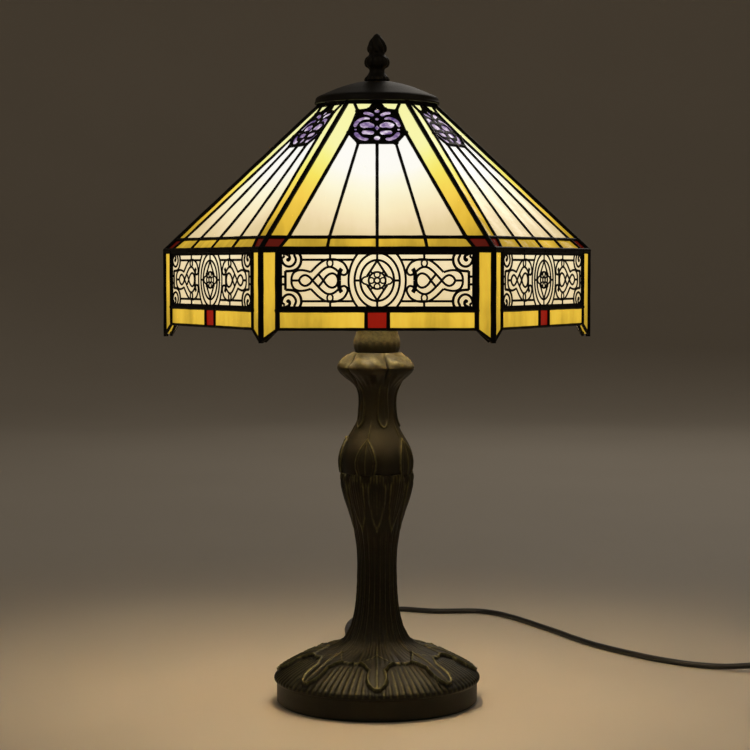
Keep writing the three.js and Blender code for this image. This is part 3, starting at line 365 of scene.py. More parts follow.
def open_curve(name, points, radius):
    """Round cable along one smooth open spline through the points."""
    curve = bpy.data.curves.new(name, "CURVE")
    curve.dimensions = "3D"
    curve.bevel_depth = radius
    curve.bevel_resolution = 3
    curve.resolution_u = 5
    curve.use_fill_caps = True
    spline = curve.splines.new("BEZIER")
    spline.bezier_points.add(len(points) - 1)
    spline.bezier_points.foreach_set("co", points.ravel())
    for point in spline.bezier_points:
        point.handle_left_type = "AUTO"
        point.handle_right_type = "AUTO"
    return curve


def rubber(name, dark, light):
    """Soft black sheath: matt, faintly mottled, with a fine pebbled skin and a little sheen."""
    material, tree, shader = nodes_of(name)
    color, cloud, grain = tones(tree, dark, light, 120, 1400, detail=(3.0, 1.0))
    tree.links.new(color, shader.inputs["Base Color"])
    tree.links.new(spread(tree, cloud, 0.38, 0.55, 0.3, 0.7), shader.inputs["Roughness"])
    shader.inputs["Sheen Weight"].default_value = 0.08
    bump(tree, shader, grain, 0.00005)
    return material


sheath = rubber("cord_rubber", (6, 6, 6), (12, 11, 11))
cord_points = np.concatenate([CORD_ROUTE, CORD_TAIL, coil_route(), PLUG_ROUTE])
mains_cord = place("mains_cord", open_curve("mains_cord", cord_points, CORD_RADIUS))
mains_cord.data.materials.append(sheath)
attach(mains_cord, "stand")
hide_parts("cord_lead", "cord_tail", "cord_coil", "cord_plug_lead")

# ---- Cord gland, coil tie, inline switch and plug ------------------------------------------------
# Moulded black plastic pieces on the cord: a tapered strain relief in the back of the foot, an
# oval two-shell switch with a rocker, a wire tie round the coil, and a two-blade plug.


def smooth(points, step):
    """Curve through the points, by cubic pieces whose slopes are those of the chords beside each."""
    points = np.asarray(points, float)
    chord = np.linalg.norm(np.diff(points, axis=0), axis=1)
    at = np.concatenate([[0], np.cumsum(chord)])
    slope = np.gradient(points, at, axis=0)
    place_at = np.linspace(0, at[-1], max(2, int(np.ceil(at[-1] / step)) + 1))
    piece = np.clip(np.searchsorted(at, place_at, side="right") - 1, 0, len(chord) - 1)
    width = chord[piece]
    share = ((place_at - at[piece]) / width)[:, None]
    span = width[:, None]
    first = (1 + 2 * share) * (1 - share) ** 2 * points[piece]
    second = share**2 * (3 - 2 * share) * points[piece + 1]
    lean = share * (1 - share) ** 2 * slope[piece] - share**2 * (1 - share) * slope[piece + 1]
    return first + second + span * lean


def turned(profile, segments, swell=0.0):
    """Radius and height rows turned about the vertical axis, in millimetres. swell adds to each
    radius, row by row and angle by angle; angle 0 is the front and grows towards +X."""
    angle = np.linspace(0, 2 * np.pi, segments, endpoint=False)
    radius = profile[:, :1] + swell + 0 * angle
    x = radius * np.sin(angle)
    y = -radius * np.cos(angle)
    z = np.repeat(profile[:, 1:2], segments, axis=1)
    points = np.stack([x, y, z], axis=-1).reshape(-1, 3)
    return points, grid_faces(*radius.shape, close_columns=True)


def turned_piece(name, profile, segments, finish, body, swell=0.0, sharp=35, centre=(0, 0)):
    """A turned piece, open rows left open at the axis because their points meet there."""
    points, faces = turned(np.asarray(profile, float), segments, swell)
    points = points * MM + np.array([*centre, 0])
    return make(name, points, outward(points, faces), finish, body, sharp=sharp)


def closed(profile):
    """The profile with its first point repeated at its end, so that it forms a loop."""
    return np.concatenate([profile, profile[:1]])


black_plastic = mottled("moulded_black", (12, 12, 12), (24, 23, 22), 0.42, scale=70, depth=0.00006)

gland_low, gland_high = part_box("cord_gland")
gland_z = (gland_low.z + gland_high.z) / 2 / MM
gland_from = gland_low.y / MM
gland_to = gland_high.y / MM
GLAND_BORE = 2.6
GLAND_RIBS = 7


def gland():
    """Taper turned about the cord's line, with rounded cross ribs along the part outside."""
    along = np.linspace(0, 1, 90)
    taper = 4.2 + (GLAND_BORE + 0.7 - 4.2) * along
    ribs = 0.35 * np.maximum(0, np.sin(2 * np.pi * GLAND_RIBS * along)) ** 0.5
    outside_from = 75.8
    outer = np.stack([taper + ribs, outside_from + along * (gland_to - outside_from)], axis=-1)
    flanges = np.array([[GLAND_BORE, gland_from], [6, gland_from], [6, 68.2], [4.2, 68.2], [4.2, 72.3],
                        [6, 72.3], [6, 74.4], [5.4, 74.9]])
    return closed(np.concatenate([flanges, outer, [[GLAND_BORE, gland_to]]]))


gland_points, gland_quads = turned(gland(), 40)
gland_points = gland_points[:, [0, 2, 1]] * MM + np.array([0, 0, gland_z * MM])
strain_relief = make("strain_relief", gland_points, outward(gland_points, gland_quads), black_plastic,
                     "stand", sharp=40)
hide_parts("cord_gland")

SWITCH_CENTRE = np.array([0.328, 0.084])
SWITCH_ANGLE = np.radians(-20)
SWITCH_HALF = (31.0, 12.5)


def switch_shell(low, high, round_top):
    """Stack of oval outlines, full in the middle and drawn in by a quarter round at one edge."""
    angle = np.linspace(0, 2 * np.pi, 96, endpoint=False)
    x = SWITCH_HALF[0] * np.sign(np.cos(angle)) * np.abs(np.cos(angle)) ** 0.55
    y = SWITCH_HALF[1] * np.sign(np.sin(angle)) * np.abs(np.sin(angle)) ** 0.75
    edge = np.linspace(0, np.pi / 2, 9)
    inset = np.concatenate([[12], round_top * (1 - np.sin(edge)), [0, 0.6, 12]])
    height = np.concatenate([[0], round_top * (1 - np.cos(edge)),
                             [high - low - 0.6, high - low, high - low]])
    scale = 1 - inset[:, None] / SWITCH_HALF[1]
    push = 1 - inset[:, None] / SWITCH_HALF[0]
    flat = np.stack([x * push, y * np.maximum(scale, 0), 0 * x + height[:, None]], axis=-1)
    return flat.reshape(-1, 3), grid_faces(len(inset), 96, close_columns=True)


def on_switch(points):
    """From the switch's own frame in millimetres to its place on the cord."""
    c, s = np.cos(SWITCH_ANGLE), np.sin(SWITCH_ANGLE)
    x = points[:, 0] * c - points[:, 1] * s
    y = points[:, 0] * s + points[:, 1] * c
    return np.stack([x, y, points[:, 2]], axis=-1) * MM + np.array([*SWITCH_CENTRE, 0])


def cut_out(piece, cutter):
    """The piece with the cutter's shape taken away, as a plain mesh; the cutter is removed."""
    tool = piece.modifiers.new("cut", "BOOLEAN")
    tool.operation = "DIFFERENCE"
    tool.solver = "EXACT"
    tool.object = cutter
    bpy.context.view_layer.update()
    shaped = bpy.data.meshes.new_from_object(piece.evaluated_get(bpy.context.evaluated_depsgraph_get()))
    piece.modifiers.clear()
    piece.data = shaped
    bpy.data.objects.remove(cutter)


def block(low, high):
    """Corners and faces of a box between two corners, as a 2 by 4 grid with both ends drawn shut."""
    x = np.array([low[0], high[0], high[0], low[0]])
    y = np.array([low[1], low[1], high[1], high[1]])
    middle = (np.array(low) + np.array(high)) / 2
    rows = [np.stack([0 * x + middle[0], 0 * y + middle[1], 0 * x + low[2]], axis=-1)]
    rows += [np.stack([x, y, 0 * x + z], axis=-1) for z in (low[2], high[2])]
    rows += [np.stack([0 * x + middle[0], 0 * y + middle[1], 0 * x + high[2]], axis=-1)]
    return np.concatenate(rows), grid_faces(4, 4, close_columns=True)


shell_points, shell_quads = switch_shell(0.2, 6.5, 2.5)
shell_points[:, 2] += 0.2
lower_points = on_switch(shell_points)
lower_shell = make("switch_lower", lower_points, outward(lower_points, shell_quads), black_plastic, "stand",
                   sharp=50)
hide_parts("switch_lower_shell")
shell_points, shell_quads = switch_shell(6.8, 14.2, 3.5)
shell_points[:, 2] = 14.2 - shell_points[:, 2]
upper_points = on_switch(shell_points)
upper_shell = make("switch_upper", upper_points, outward(upper_points, shell_quads), black_plastic, "stand",
                   sharp=50)
pocket_points, pocket_quads = block((-10.1, -5.8, 7.4), (10.1, 5.8, 20))
pocket_points = on_switch(pocket_points)
pocket = make("pocket", pocket_points, outward(pocket_points, pocket_quads), black_plastic)
cut_out(upper_shell, pocket)
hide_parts("switch_upper_shell")

PLUG_NECK = 22.0
PLUG_HALF = (12.0, 7.5)
PLUG_LENGTH = 29.0


def plug():
    """Rounded-oblong outlines along the plug: a round neck with ribs widening into a flat body."""
    along = np.concatenate([np.linspace(0, PLUG_NECK, 60),
                            PLUG_NECK + np.linspace(0.5, PLUG_LENGTH - 1.4, 40),
                            PLUG_NECK + PLUG_LENGTH - np.array([1.4, 0.9, 0.4, 0.1, 0])])
    shoulder = np.clip((along - PLUG_NECK) / 9, 0, 1)
    shoulder = shoulder * shoulder * (3 - 2 * shoulder)
    in_neck = along < PLUG_NECK
    neck = 3.1 + 2.0 * along / PLUG_NECK + 0.35 * in_neck * np.sign(np.sin(along * 1.7))
    wide = neck + (PLUG_HALF[0] - neck) * shoulder
    tall = neck + (PLUG_HALF[1] - neck) * shoulder
    end = np.clip((along - (PLUG_NECK + PLUG_LENGTH - 1.5)) / 1.5, 0, 1)
    rounding = 1.5 * (1 - np.sqrt(1 - np.minimum(end, 1) ** 2))
    power = 1 - 0.45 * shoulder
    angle = np.linspace(0, 2 * np.pi, 64, endpoint=False)
    c, s = np.cos(angle), np.sin(angle)
    x = (wide - rounding)[:, None] * np.sign(c) * np.abs(c) ** power[:, None]
    z = (tall - rounding)[:, None] * np.sign(s) * np.abs(s) ** power[:, None]
    y = -along[:, None] + 0 * x
    ring = np.stack([x, y, z], axis=-1)
    middle = ring.mean(axis=1, keepdims=True) + 0 * ring
    ring = np.concatenate([middle[:1], ring, middle[-1:]])
    return ring.reshape(-1, 3), grid_faces(len(ring), 64, close_columns=True)


plug_points, plug_quads = plug()
plug_points = plug_points * MM + np.array([plug_x, plug_neck_y, plug_axis_z])
plug_body = make("plug_moulding", plug_points, outward(plug_points, plug_quads), black_plastic, "stand",
                 sharp=45)
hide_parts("plug_body")

TIE_HALF = 3.5


def tie():
    """Flat band in a rounded oblong loop round all the turns on one side of the coil."""
    middle_r = (COIL_INNER + coil_outer) / 2 / MM
    half_r = (coil_outer - COIL_INNER) / 2 / MM + 2.3
    half_z = 4.55
    angle = np.linspace(0, 2 * np.pi, 72, endpoint=False)
    c, s = np.cos(angle), np.sin(angle)
    out_r = np.sign(c) * np.abs(c) ** 0.4
    out_z = np.sign(s) * np.abs(s) ** 0.6
    loop = []
    for thick, across in ((0.1, -TIE_HALF), (0.1, TIE_HALF), (0.9, TIE_HALF), (1.0, 0), (0.9, -TIE_HALF)):
        r = middle_r + (half_r + thick) * out_r
        z = np.maximum(4.7 + (half_z + thick) * out_z, 0.12)
        loop.append(np.stack([r, 0 * r + across, z], axis=-1))
    rows = np.stack(loop)
    return rows.reshape(-1, 3), grid_faces(5, 72, close_rows=True, close_columns=True)


tie_points, tie_quads = tie()
tie_points = tie_points * MM + np.array([*coil_centre, 0])
coil_tie = make("coil_tie", tie_points, outward(tie_points, tie_quads), black_plastic, "stand", sharp=50)

# ---- Foot ----------------------------------------------------------------------------------------
# Hollow metal casting with a bronze paint: eight broad leaves lie over a fluted dome, their ribs
# run up into a slim stem, and a calyx opens at its head. The paint is rubbed olive-gold on ridges.
FOOT_RIM = 74.0
SKIRT = 72.0
LEAVES = 8
LEAF_THICK = 1.1
RIM_FLUTES = 96
CALYX = 10


def step_up(distance, width):
    """0 below zero, 1 above the width, with a smooth rise between."""
    share = np.clip(distance / width, 0, 1)
    return share * share * (3 - 2 * share)


def ridge(distance, width):
    """Rounded crest: e to the power of minus the square of distance over width."""
    return np.exp(-((distance / width) ** 2))


def repeat(angle, count, first=0.0):
    """Angle from the middle of the nearest of a number of equal repeats round the axis."""
    span = 2 * np.pi / count
    return (angle - first + span / 2) % span - span / 2


def raised_leaf(inside, thick, lip, lip_width=0.9):
    """Height of a leaf for the distance inside its edge: a step up with a rolled lip."""
    return thick * step_up(inside, 1.5) + lip * ridge(inside - 1.6, lip_width) * step_up(inside, 0.8)


def foot_outline():
    """Outline of the foot in radius and height: plain skirt, dome, then the slim stem."""
    skirt = np.array([[SKIRT, 1.8], [SKIRT, 3], [SKIRT, 9], [SKIRT, 14.2], [SKIRT + 0.2, 15.2]])
    dome = smooth([[SKIRT + 0.2, 15.2], [FOOT_RIM - 0.4, 16.4], [FOOT_RIM - 0.4, 18.2], [70.3, 21.5],
                   [60, 27.9], [46, 34.4], [37, 36.9], [30, 39.6], [22.4, 46.3], [18.3, 54]], 0.8)
    stem = smooth([[18.3, 54], [15.8, 63.6], [14, 78], [13.5, 93], [14.3, 112], [18, 131.4], [23.6, 150.4],
                   [25.2, 158], [25.6, 163.4], [25.2, 165]], 1.9)
    return np.concatenate([skirt[:-1], dome[:-1], stem])


def foot_relief(radius, height, angle):
    """Leaves, flutes and calyx as a height over the plain surface, from where a point lies."""
    turn = repeat(angle, LEAVES)
    side = np.abs(turn) * radius
    degrees = np.degrees(np.abs(turn))
    shore = np.interp(degrees, [0, 7, 10, 13.5, 17, 20, 22.5], [60, 54, 50, 47.8, 47.2, 48.4, 44.8])
    half = np.interp(radius, [40, 48, 52, 57, 62, 66, 68.5, 70, 71, 75],
                     [6, 6, 6.4, 7.6, 8.2, 7.4, 5.6, 3.2, 0, -6])
    inside = np.maximum((shore - radius) * 0.85, half - side)
    on_dome = step_up(46 - height, 8)
    leaf = raised_leaf(inside, LEAF_THICK, 0.55) * on_dome
    rib = 0.7 * ridge(side, 0.8) * step_up(inside, 3) * on_dome
    crest_half = np.interp(radius, [30, 34, 38, 43, 47, 51], [-2, 1.2, 4.6, 9.4, 14.5, 18])
    crest = raised_leaf(np.minimum(crest_half - side, inside), 0.7, 0.5) * on_dome
    sweep = np.abs(turn) * 8 * 10 + 0.07 * (radius - 30)
    veins = 0.5 * (np.abs(np.cos(sweep / 2)) ** 0.7 - 0.6) * step_up(inside - 2.2, 3) * step_up(56 - radius,
                                                                                                12)
    veins = veins * step_up(radius - 17, 8)
    valley = -0.9 * ridge(repeat(angle, LEAVES, np.pi / LEAVES) * radius, 1.1) * step_up(50 - radius,
                                                                                         6) * on_dome
    flutes = 0.32 * np.cos(RIM_FLUTES * angle) * step_up(-0.3 - inside,
                                                         2.5) * step_up(FOOT_RIM + 1.5 - radius, 2)
    flutes = flutes * step_up(height - 16, 2) * on_dome
    bold = np.abs(np.cos(LEAVES * 1.5 * angle + 0.5 * np.sin(height * 0.045)))
    fine = np.cos(LEAVES * 6 * angle + 0.8 * np.sin(height * 0.06))
    on_stem = step_up(height - 38, 12) * step_up(140 - height, 25)
    stem = (0.9 * (1 - bold**0.6) + 0.22 * fine) * on_stem
    tip = repeat(angle, CALYX)
    petal_half = np.interp(height, [118, 124, 134, 146, 156, 163.5, 165.2],
                           [-2, 1.2, 4.4, 6.6, 7.4, 6.0, 4.6])
    petal_in = petal_half - np.abs(tip) * radius
    calyx = raised_leaf(petal_in, 0.7, 0.25) * step_up(height - 116, 6)
    midrib = 0.25 * ridge(np.abs(tip) * radius, 0.5) * step_up(petal_in, 2) * step_up(height - 122, 6)
    flare = 0.9 * step_up(height - 157, 6) * np.cos(CALYX * angle)
    return leaf + crest + rib + veins + valley + flutes + stem + calyx + midrib + flare


def displaced(rows, relief, segments, bulb_lit_above=None):
    """Turned surface pushed out along its own normals by the relief. The mark, 0 to 1, is how far a
    point stands over its surroundings, for rubbed paint on raised places, plus a painted highlight
    above the given height that stands for the bulb's light falling from above."""
    angle = np.linspace(0, 2 * np.pi, segments, endpoint=False)
    radius, height = rows[:, :1] + 0 * angle, rows[:, 1:2] + 0 * angle
    rise = relief(radius, height, angle[None, :])
    slope = np.gradient(rows, axis=0)
    length = np.maximum(np.linalg.norm(slope, axis=1, keepdims=True), 1e-9)
    normal = np.stack([slope[:, 1], -slope[:, 0]], axis=-1) / length
    new_radius = radius + rise * normal[:, :1]
    new_height = height + rise * normal[:, 1:2]
    around = rise.copy()
    for _ in range(10):
        side = (np.roll(around, 1, axis=1) + np.roll(around, -1, axis=1)) / 2
        along = np.concatenate([around[:1], around, around[-1:]])
        around = (side + (along[:-2] + along[2:]) / 2) / 2
    wear_and_light = (rise - around) / 0.7 + 0.08
    # Painted highlight: more gold above the given height, for the bulb's light falling from above.
    if bulb_lit_above is not None:
        wear_and_light = wear_and_light + 0.24 * step_up(height - bulb_lit_above, 7)
    wear_and_light = np.clip(wear_and_light, 0, 1)
    points = np.stack([new_radius * np.sin(angle), -new_radius * np.cos(angle), new_height], axis=-1)
    return points, wear_and_light


def cast_piece(name, outer, inner, relief, segments, finish, body, bulb_lit_above=None):
    """Casting wall: the displaced outside, then plain rows down the inside, closed in a loop."""
    points, wear_and_light = displaced(outer, relief, segments, bulb_lit_above)
    back, _ = turned(np.asarray(inner, float), segments)
    back = back.reshape(len(inner), segments, 3)
    rows = np.concatenate([points, back])
    marks = np.concatenate([wear_and_light, np.zeros(back.shape[:2])])
    flat = rows.reshape(-1, 3) * MM
    faces = grid_faces(len(rows), segments, close_rows=True, close_columns=True)
    return make(name, flat, outward(flat, faces), finish, body, marks={"wear_and_light": marks.ravel()}, sharp=60)


def rubbed_wear_and_light():
    """Wear on raised places and a painted highlight high up: the mark times broken noise, carried
    to 0..the given most, is the share of the gold colour over the paint."""
    takes = [("Paint", "Color"), ("Rubbed", "Color"), ("Rub", "Float")]
    group, given, result = new_group("rubbed_wear_and_light", takes, [("Color", "Color"), ("Amount", "Float")])
    wear_and_light = group.nodes.new("ShaderNodeAttribute")
    wear_and_light.attribute_name = "wear_and_light"
    broken = spread(group, noise(group, 420, detail=4), 0.55, 1.25, 0.3, 0.7)
    mask = group.nodes.new("ShaderNodeMath")
    mask.operation = "MULTIPLY"
    mask.use_clamp = True
    group.links.new(wear_and_light.outputs["Fac"], mask.inputs[0])
    group.links.new(broken, mask.inputs[1])
    amount = spread(group, mask.outputs[0], 0.0, 1.0, 0.12, 0.8)
    group.links.new(given.outputs["Rub"], amount.node.inputs["To Max"])
    group.links.new(two_tone(group, amount, given.outputs["Paint"], given.outputs["Rubbed"]),
                    result.inputs["Color"])
    group.links.new(amount, result.inputs["Amount"])
    return group


WEAR_AND_LIGHT = rubbed_wear_and_light()


def bronze_paint(name, dark, rubbed, gloss, rub_and_light=1.0):
    """Dark bronze paint over the casting: tone drifts in soft clouds, ridges are rubbed to gold
    where the mark is high, broken up by noise, the same gold also paints a highlight for the
    bulb's light where the mark carries it, and the skin has a fine cast grain."""
    material, tree, shader = nodes_of(name)
    base, _, grain = tones(tree, *dark, 55, 900, detail=(4.0, 3.0), reach=(0.32, 0.68))
    wear = use_group(tree, WEAR_AND_LIGHT, Paint=base, Rubbed=paint(*rubbed), Rub=rub_and_light)
    tree.links.new(wear["Color"], shader.inputs["Base Color"])
    tree.links.new(spread(tree, wear["Amount"], gloss + 0.08, gloss - 0.06), shader.inputs["Roughness"])
    shader.inputs["Metallic"].default_value = 0.55
    bump(tree, shader, grain, 0.00012)
    return material


stand_bronze = bronze_paint("stand_bronze", ((18, 17, 9), (30, 28, 16)), (118, 115, 70), 0.42, rub_and_light=0.56)
foot_inside = [[5.5, 165], [5.5, 162], [22.4, 162], [15.2, 129.5], [10.4, 93], [11.2, 64], [9.5, 42],
               [5.5, 42], [5.5, 37], [26, 37], [45, 31], [60, 22.5], [69, 15], [69, 1.8]]
foot = cast_piece("foot", foot_outline(), foot_inside, foot_relief, 576,
                  stand_bronze, "stand")
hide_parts("foot_casting")

# ---- Upper column --------------------------------------------------------------------------------
# Second casting, clamped on the first by the lamp pipe: a bulb of pointed petals, a neck with
# hanging tongues, and a capital of five scrolled lobes. The capital's top takes most of the gold:
# rubbed paint on its ridges and a painted highlight for the bulb's light from above.
COLUMN_FOOT = 165.3
LOBES = 5
LOBE_FRONT = -np.radians(18)


def column_outline():
    """Outline of the column in radius and height above its own foot."""
    return smooth([[25.2, 0], [25.6, 2], [26, 5], [26.1, 9], [25.2, 14], [22.6, 20.5], [19.6, 25.6],
                   [16.4, 31.4],
                   [14.3, 37.5], [13.4, 44], [13.1, 52], [13.5, 56], [15, 60.5], [18.2, 65], [22.8, 69.4],
                   [26, 72.4], [27.2, 74.8], [26.6, 77.2], [24.4, 79.9], [21.4, 82.4], [18.6, 84.8], [17.2,
                                                                                                      85.9],
                   [16.4, 85.9]], 0.62)


def column_relief(radius, height, angle):
    """Five-fold relief: ogive petals below, tongues in the neck, scrolled lobes at the head."""
    up = height
    petal = repeat(angle, LOBES, LOBE_FRONT)
    gap = repeat(angle, LOBES, LOBE_FRONT + np.pi / LOBES)
    petal_half = np.interp(up, [-1, 0, 4, 9, 14, 19, 22.5, 25, 27],
                           [6.6, 7.2, 8.6, 9.0, 7.8, 5.4, 3.0, 0.8, -2])
    petal_in = petal_half - np.abs(petal) * radius
    ogive = raised_leaf(petal_in, 0.9, 0.75, 0.7)
    spine = 0.9 * ridge(np.abs(petal) * radius, 0.6) * step_up(38 - up, 8)
    inner_line = 0.45 * ridge(petal_in - 3.4, 0.45) * (petal_in > 1)
    tongue_half = np.interp(up, [27, 31.5, 33, 34.5, 38, 45, 56, 62], [-3, -1, 2.2, 3.6, 4.8, 5.0, 4.4, 4.4])
    tongue_in = tongue_half - np.abs(gap) * radius
    tongue = raised_leaf(tongue_in, 0.75, 0.5, 0.6) * step_up(68 - up, 8)
    groove = -0.4 * ridge(np.abs(gap) * radius - 1.6, 0.5) * step_up(up - 36, 4) * step_up(64 - up, 6)
    head = step_up(up - 61, 9)
    top = step_up(87 - up, 7)
    lobe = 3.4 * (np.abs(np.cos(LOBES / 2 * (angle - LOBE_FRONT))) ** 0.8 - 0.62) * head * top
    cleft = -0.8 * ridge(np.abs(gap) * radius, 1.2) * step_up(up - 66, 5) * top
    crease = 0.32 * np.sin(petal * radius * 0.42 + (up - 70) * 0.5 + 1.4 * np.sin(angle * 3))
    crease = crease * step_up(up - 75, 4) * top
    folds = 0.16 * np.cos(LOBES * 6 * angle) * step_up(up - 58, 6) * step_up(73 - up, 4)
    return ogive + spine + inner_line + tongue + groove + lobe + cleft + crease + folds


def raised_relief(radius, height, angle):
    """The column's relief, with height taken from the table."""
    return column_relief(radius, height - COLUMN_FOOT, angle)


column_rows = column_outline() + np.array([0, COLUMN_FOOT])
column_inside = [[16, 250.6], [16, 247.3], [5.5, 247.3], [5.5, 217.5], [10, 211.5], [10.8, 201.5],
                 [20.5, 181.5], [22.2, 168.5], [5.5, 168.5], [5.5, 165.3]]
# Above 238 mm the extra gold is a painted highlight for the bulb's light falling on the capital.
column = cast_piece("column", column_rows, column_inside, raised_relief, 480, stand_bronze, "stand",
                    bulb_lit_above=238)
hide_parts("column_casting")

# ---- Socket cup ----------------------------------------------------------------------------------
# Small spun cup between the capital and the harp, painted like the castings. Its upper half faces
# the bulb and carries the most gold, as a painted highlight for the bulb's light.
cup_low, cup_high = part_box("socket_cup")


def cup_relief(radius, height, angle):
    """Shallow gadroons that fade out at the rim and at the foot."""
    share = np.clip((height - cup_low.z / MM) / ((cup_high.z - cup_low.z) / MM), 0, 1)
    return 0.1 * np.cos(20 * angle) * np.sin(np.pi * share) ** 2 * (share < 0.55)


cup_rows = smooth([[14.2, 0], [14.6, 1.4], [15.3, 3.2], [16.3, 6.6], [16.6, 9.6], [16.3, 12.4], [15.4, 15.6],
                   [14.9, 17.4], [14.6, 18.4], [14.2, 19.8], [13.6, 20.7]], 0.35)
cup_rows = cup_rows + np.array([0, cup_low.z / MM])
cup_inside = [[5.5, cup_high.z / MM], [5.5, cup_low.z / MM]]
# Above 254 mm the extra gold is a painted highlight for the bulb's light on the cup.
cup = cast_piece("cup", cup_rows, cup_inside, cup_relief, 240, stand_bronze, "stand", bulb_lit_above=254)
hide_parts("socket_cup")

# ---- Lamp holder ---------------------------------------------------------------------------------
# Dark phenolic E27 holder screwed on the pipe: a domed base cap and a ribbed barrel, with the
# brass screw shell inside and the lock nut below.
cap_low, cap_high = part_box("holder_base_cap")
barrel_low, barrel_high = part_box("holder_shell")
HOLDER = 17.5
BARREL_RIBS = 40
phenolic = mottled("holder_phenolic", (24, 17, 12), (38, 27, 18), 0.34, scale=45, depth=0.00005)

cap_z = cap_low.z / MM
holder_cap_rows = np.concatenate([
    smooth([[5.4, 0], [9, 0.2], [11.5, 0.9], [14.6, 3.4], [16.8, 6.6], [17.5, 9.4], [17.5, 13.2]], 0.8),
    [[17.3, 13.9], [15.3, 14], [15.3, 8], [10.5, 2.3], [5.4, 2.3]],
])
holder_cap = turned_piece("holder_cap", closed(holder_cap_rows + np.array([0, cap_z])), 96, phenolic,
                          "stand")
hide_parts("holder_base_cap")


def barrel_swell(rows):
    """Upright finger ribs round the middle of the barrel."""
    angle = np.linspace(0, 2 * np.pi, 320, endpoint=False)
    share = (rows[:, 1:2] - barrel_low.z / MM) / ((barrel_high.z - barrel_low.z) / MM)
    ribbed = step_up(share - 0.12, 0.06) * step_up(0.62 - share, 0.06) * (rows[:, :1] > HOLDER - 0.5)
    return -0.5 * ribbed * np.maximum(0, np.cos(BARREL_RIBS * angle)) ** 2


barrel_height = (barrel_high.z - barrel_low.z) / MM
barrel_rows = closed(np.concatenate([
    [[15.3, 0], [17.1, 0], [17.5, 0.5]],
    np.stack([np.full(18, HOLDER), np.linspace(2, barrel_height * 0.7, 18)], axis=-1),
    [[17.5, 24], [18.1, 24.6], [18.1, 26.6], [17.5, 27.2], [17.5, 31.2], [17.1, 31.9], [15.7, 32],
     [15.3, 31.6]],
])) + np.array([0, barrel_low.z / MM])
barrel = turned_piece("holder_barrel", barrel_rows, 320, phenolic, "stand", swell=barrel_swell(barrel_rows))
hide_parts("holder_shell")

# ---- Bulb ----------------------------------------------------------------------------------------
# Opal glass lamp, 60 mm across, lit. Its nickel screw cap carries a rolled thread.
BULB_RADIUS = 30.0
THREAD = 13.25
THREAD_PITCH = 3.62
bulb_low, bulb_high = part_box("bulb_glass")
bulb_centre = bulb_high.z / MM - BULB_RADIUS
screw_low, screw_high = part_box("bulb_screw_cap")


def bulb_rows():
    """Round globe that flows into a straight neck, then the same line back inside as the wall."""
    globe = np.linspace(np.pi / 2, -0.72, 44)
    round_part = np.stack([BULB_RADIUS * np.cos(globe), bulb_centre + BULB_RADIUS * np.sin(globe)], axis=-1)
    last = round_part[-1]
    neck = smooth([last, [last[0] - 3.6, last[1] - 5.4], [14.2, last[1] - 13], [12.6, last[1] - 20],
                   [12.4, bulb_low.z / MM]], 1.2)
    outside = np.concatenate([round_part, neck[1:]])
    outside[0, 0] = 0
    inside = outside[::-1] * np.array([0.96, 1]) - np.array([0, 0.3])
    inside[:, 1] = np.maximum(inside[:, 1], outside[-1, 1])
    return np.concatenate([outside, inside])


material, tree, shader = nodes_of("bulb_opal_glass")
shader.inputs["Roughness"].default_value = 0.22
frost = noise(tree, 60)
tree.links.new(ramp(tree, frost, [(0.3, paint(250, 240, 222)), (0.7, paint(255, 249, 236))]),
               shader.inputs["Base Color"])
tree.links.new(ramp(tree, frost, [(0.3, (1.0, 0.80, 0.52, 1)), (0.7, (1.0, 0.84, 0.58, 1))]),
               shader.inputs["Emission Color"])
shader.inputs["Emission Strength"].default_value = 54
bulb_glow = material
bulb = turned_piece("bulb_globe", bulb_rows(), 72, bulb_glow, "bulb")
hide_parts("bulb_glass")


def thread_swell(rows, segments, pitch, depth, low, high):
    """Rolled thread: a wave that climbs one pitch each turn, fading at both ends."""
    angle = np.linspace(0, 2 * np.pi, segments, endpoint=False)
    wave = np.cos(2 * np.pi * rows[:, 1:2] / pitch - angle)
    fade = step_up(rows[:, 1:2] - low, pitch) * step_up(high - rows[:, 1:2], pitch)
    return depth * (wave - 1) / 2 * fade


def brushed(name, dark, light, roughness, scale=160.0):
    """Plain metal with fine turned lines and faint tarnish."""
    material, tree, shader = nodes_of(name)
    color, _, grain = tones(tree, dark, light, scale * 0.4, scale * 8, detail=(4.0, 3.0))
    tree.links.new(color, shader.inputs["Base Color"])
    tree.links.new(spread(tree, noise(tree, scale * 4), roughness - 0.1, roughness + 0.14, 0.3, 0.7),
                   shader.inputs["Roughness"])
    shader.inputs["Metallic"].default_value = 1.0
    bump(tree, shader, grain, 0.00004)
    return material


nickel = brushed("nickel", (150, 148, 142), (190, 188, 182), 0.3)
screw_z = screw_low.z / MM
screw_top = screw_high.z / MM
screw_rows = np.concatenate([
    smooth([[0, screw_z], [4.6, screw_z], [5.2, screw_z + 0.5], [8, screw_z + 2.6], [12.6, screw_z + 4.6]],
           0.7),
    np.stack([np.full(70, THREAD), np.linspace(screw_z + 5.2, screw_top, 70)], axis=-1),
    [[12.75, screw_top], [12.65, screw_z + 6], [0, screw_z + 3]],
])
screw_swell = thread_swell(screw_rows, 72, THREAD_PITCH, 0.5, screw_z + 5.5, screw_top - 3)
screw_cap = turned_piece("bulb_thread", screw_rows, 72, nickel, "bulb", swell=screw_swell)
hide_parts("bulb_screw_cap")

# ---- Harp ----------------------------------------------------------------------------------------
# Round brass wire bent to a bow that stands in a saddle under the holder. Two knurled sleeves
# lock its feet on the saddle's posts, and a threaded stud on top carries the shade.
harp_low, harp_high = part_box("harp")
HARP_WIRE = 2.0
HARP_HALF = 28.0
HARP_WIDEST = 39.5
aged_brass = brushed("aged_brass", (120, 94, 48), (168, 138, 78), 0.32)


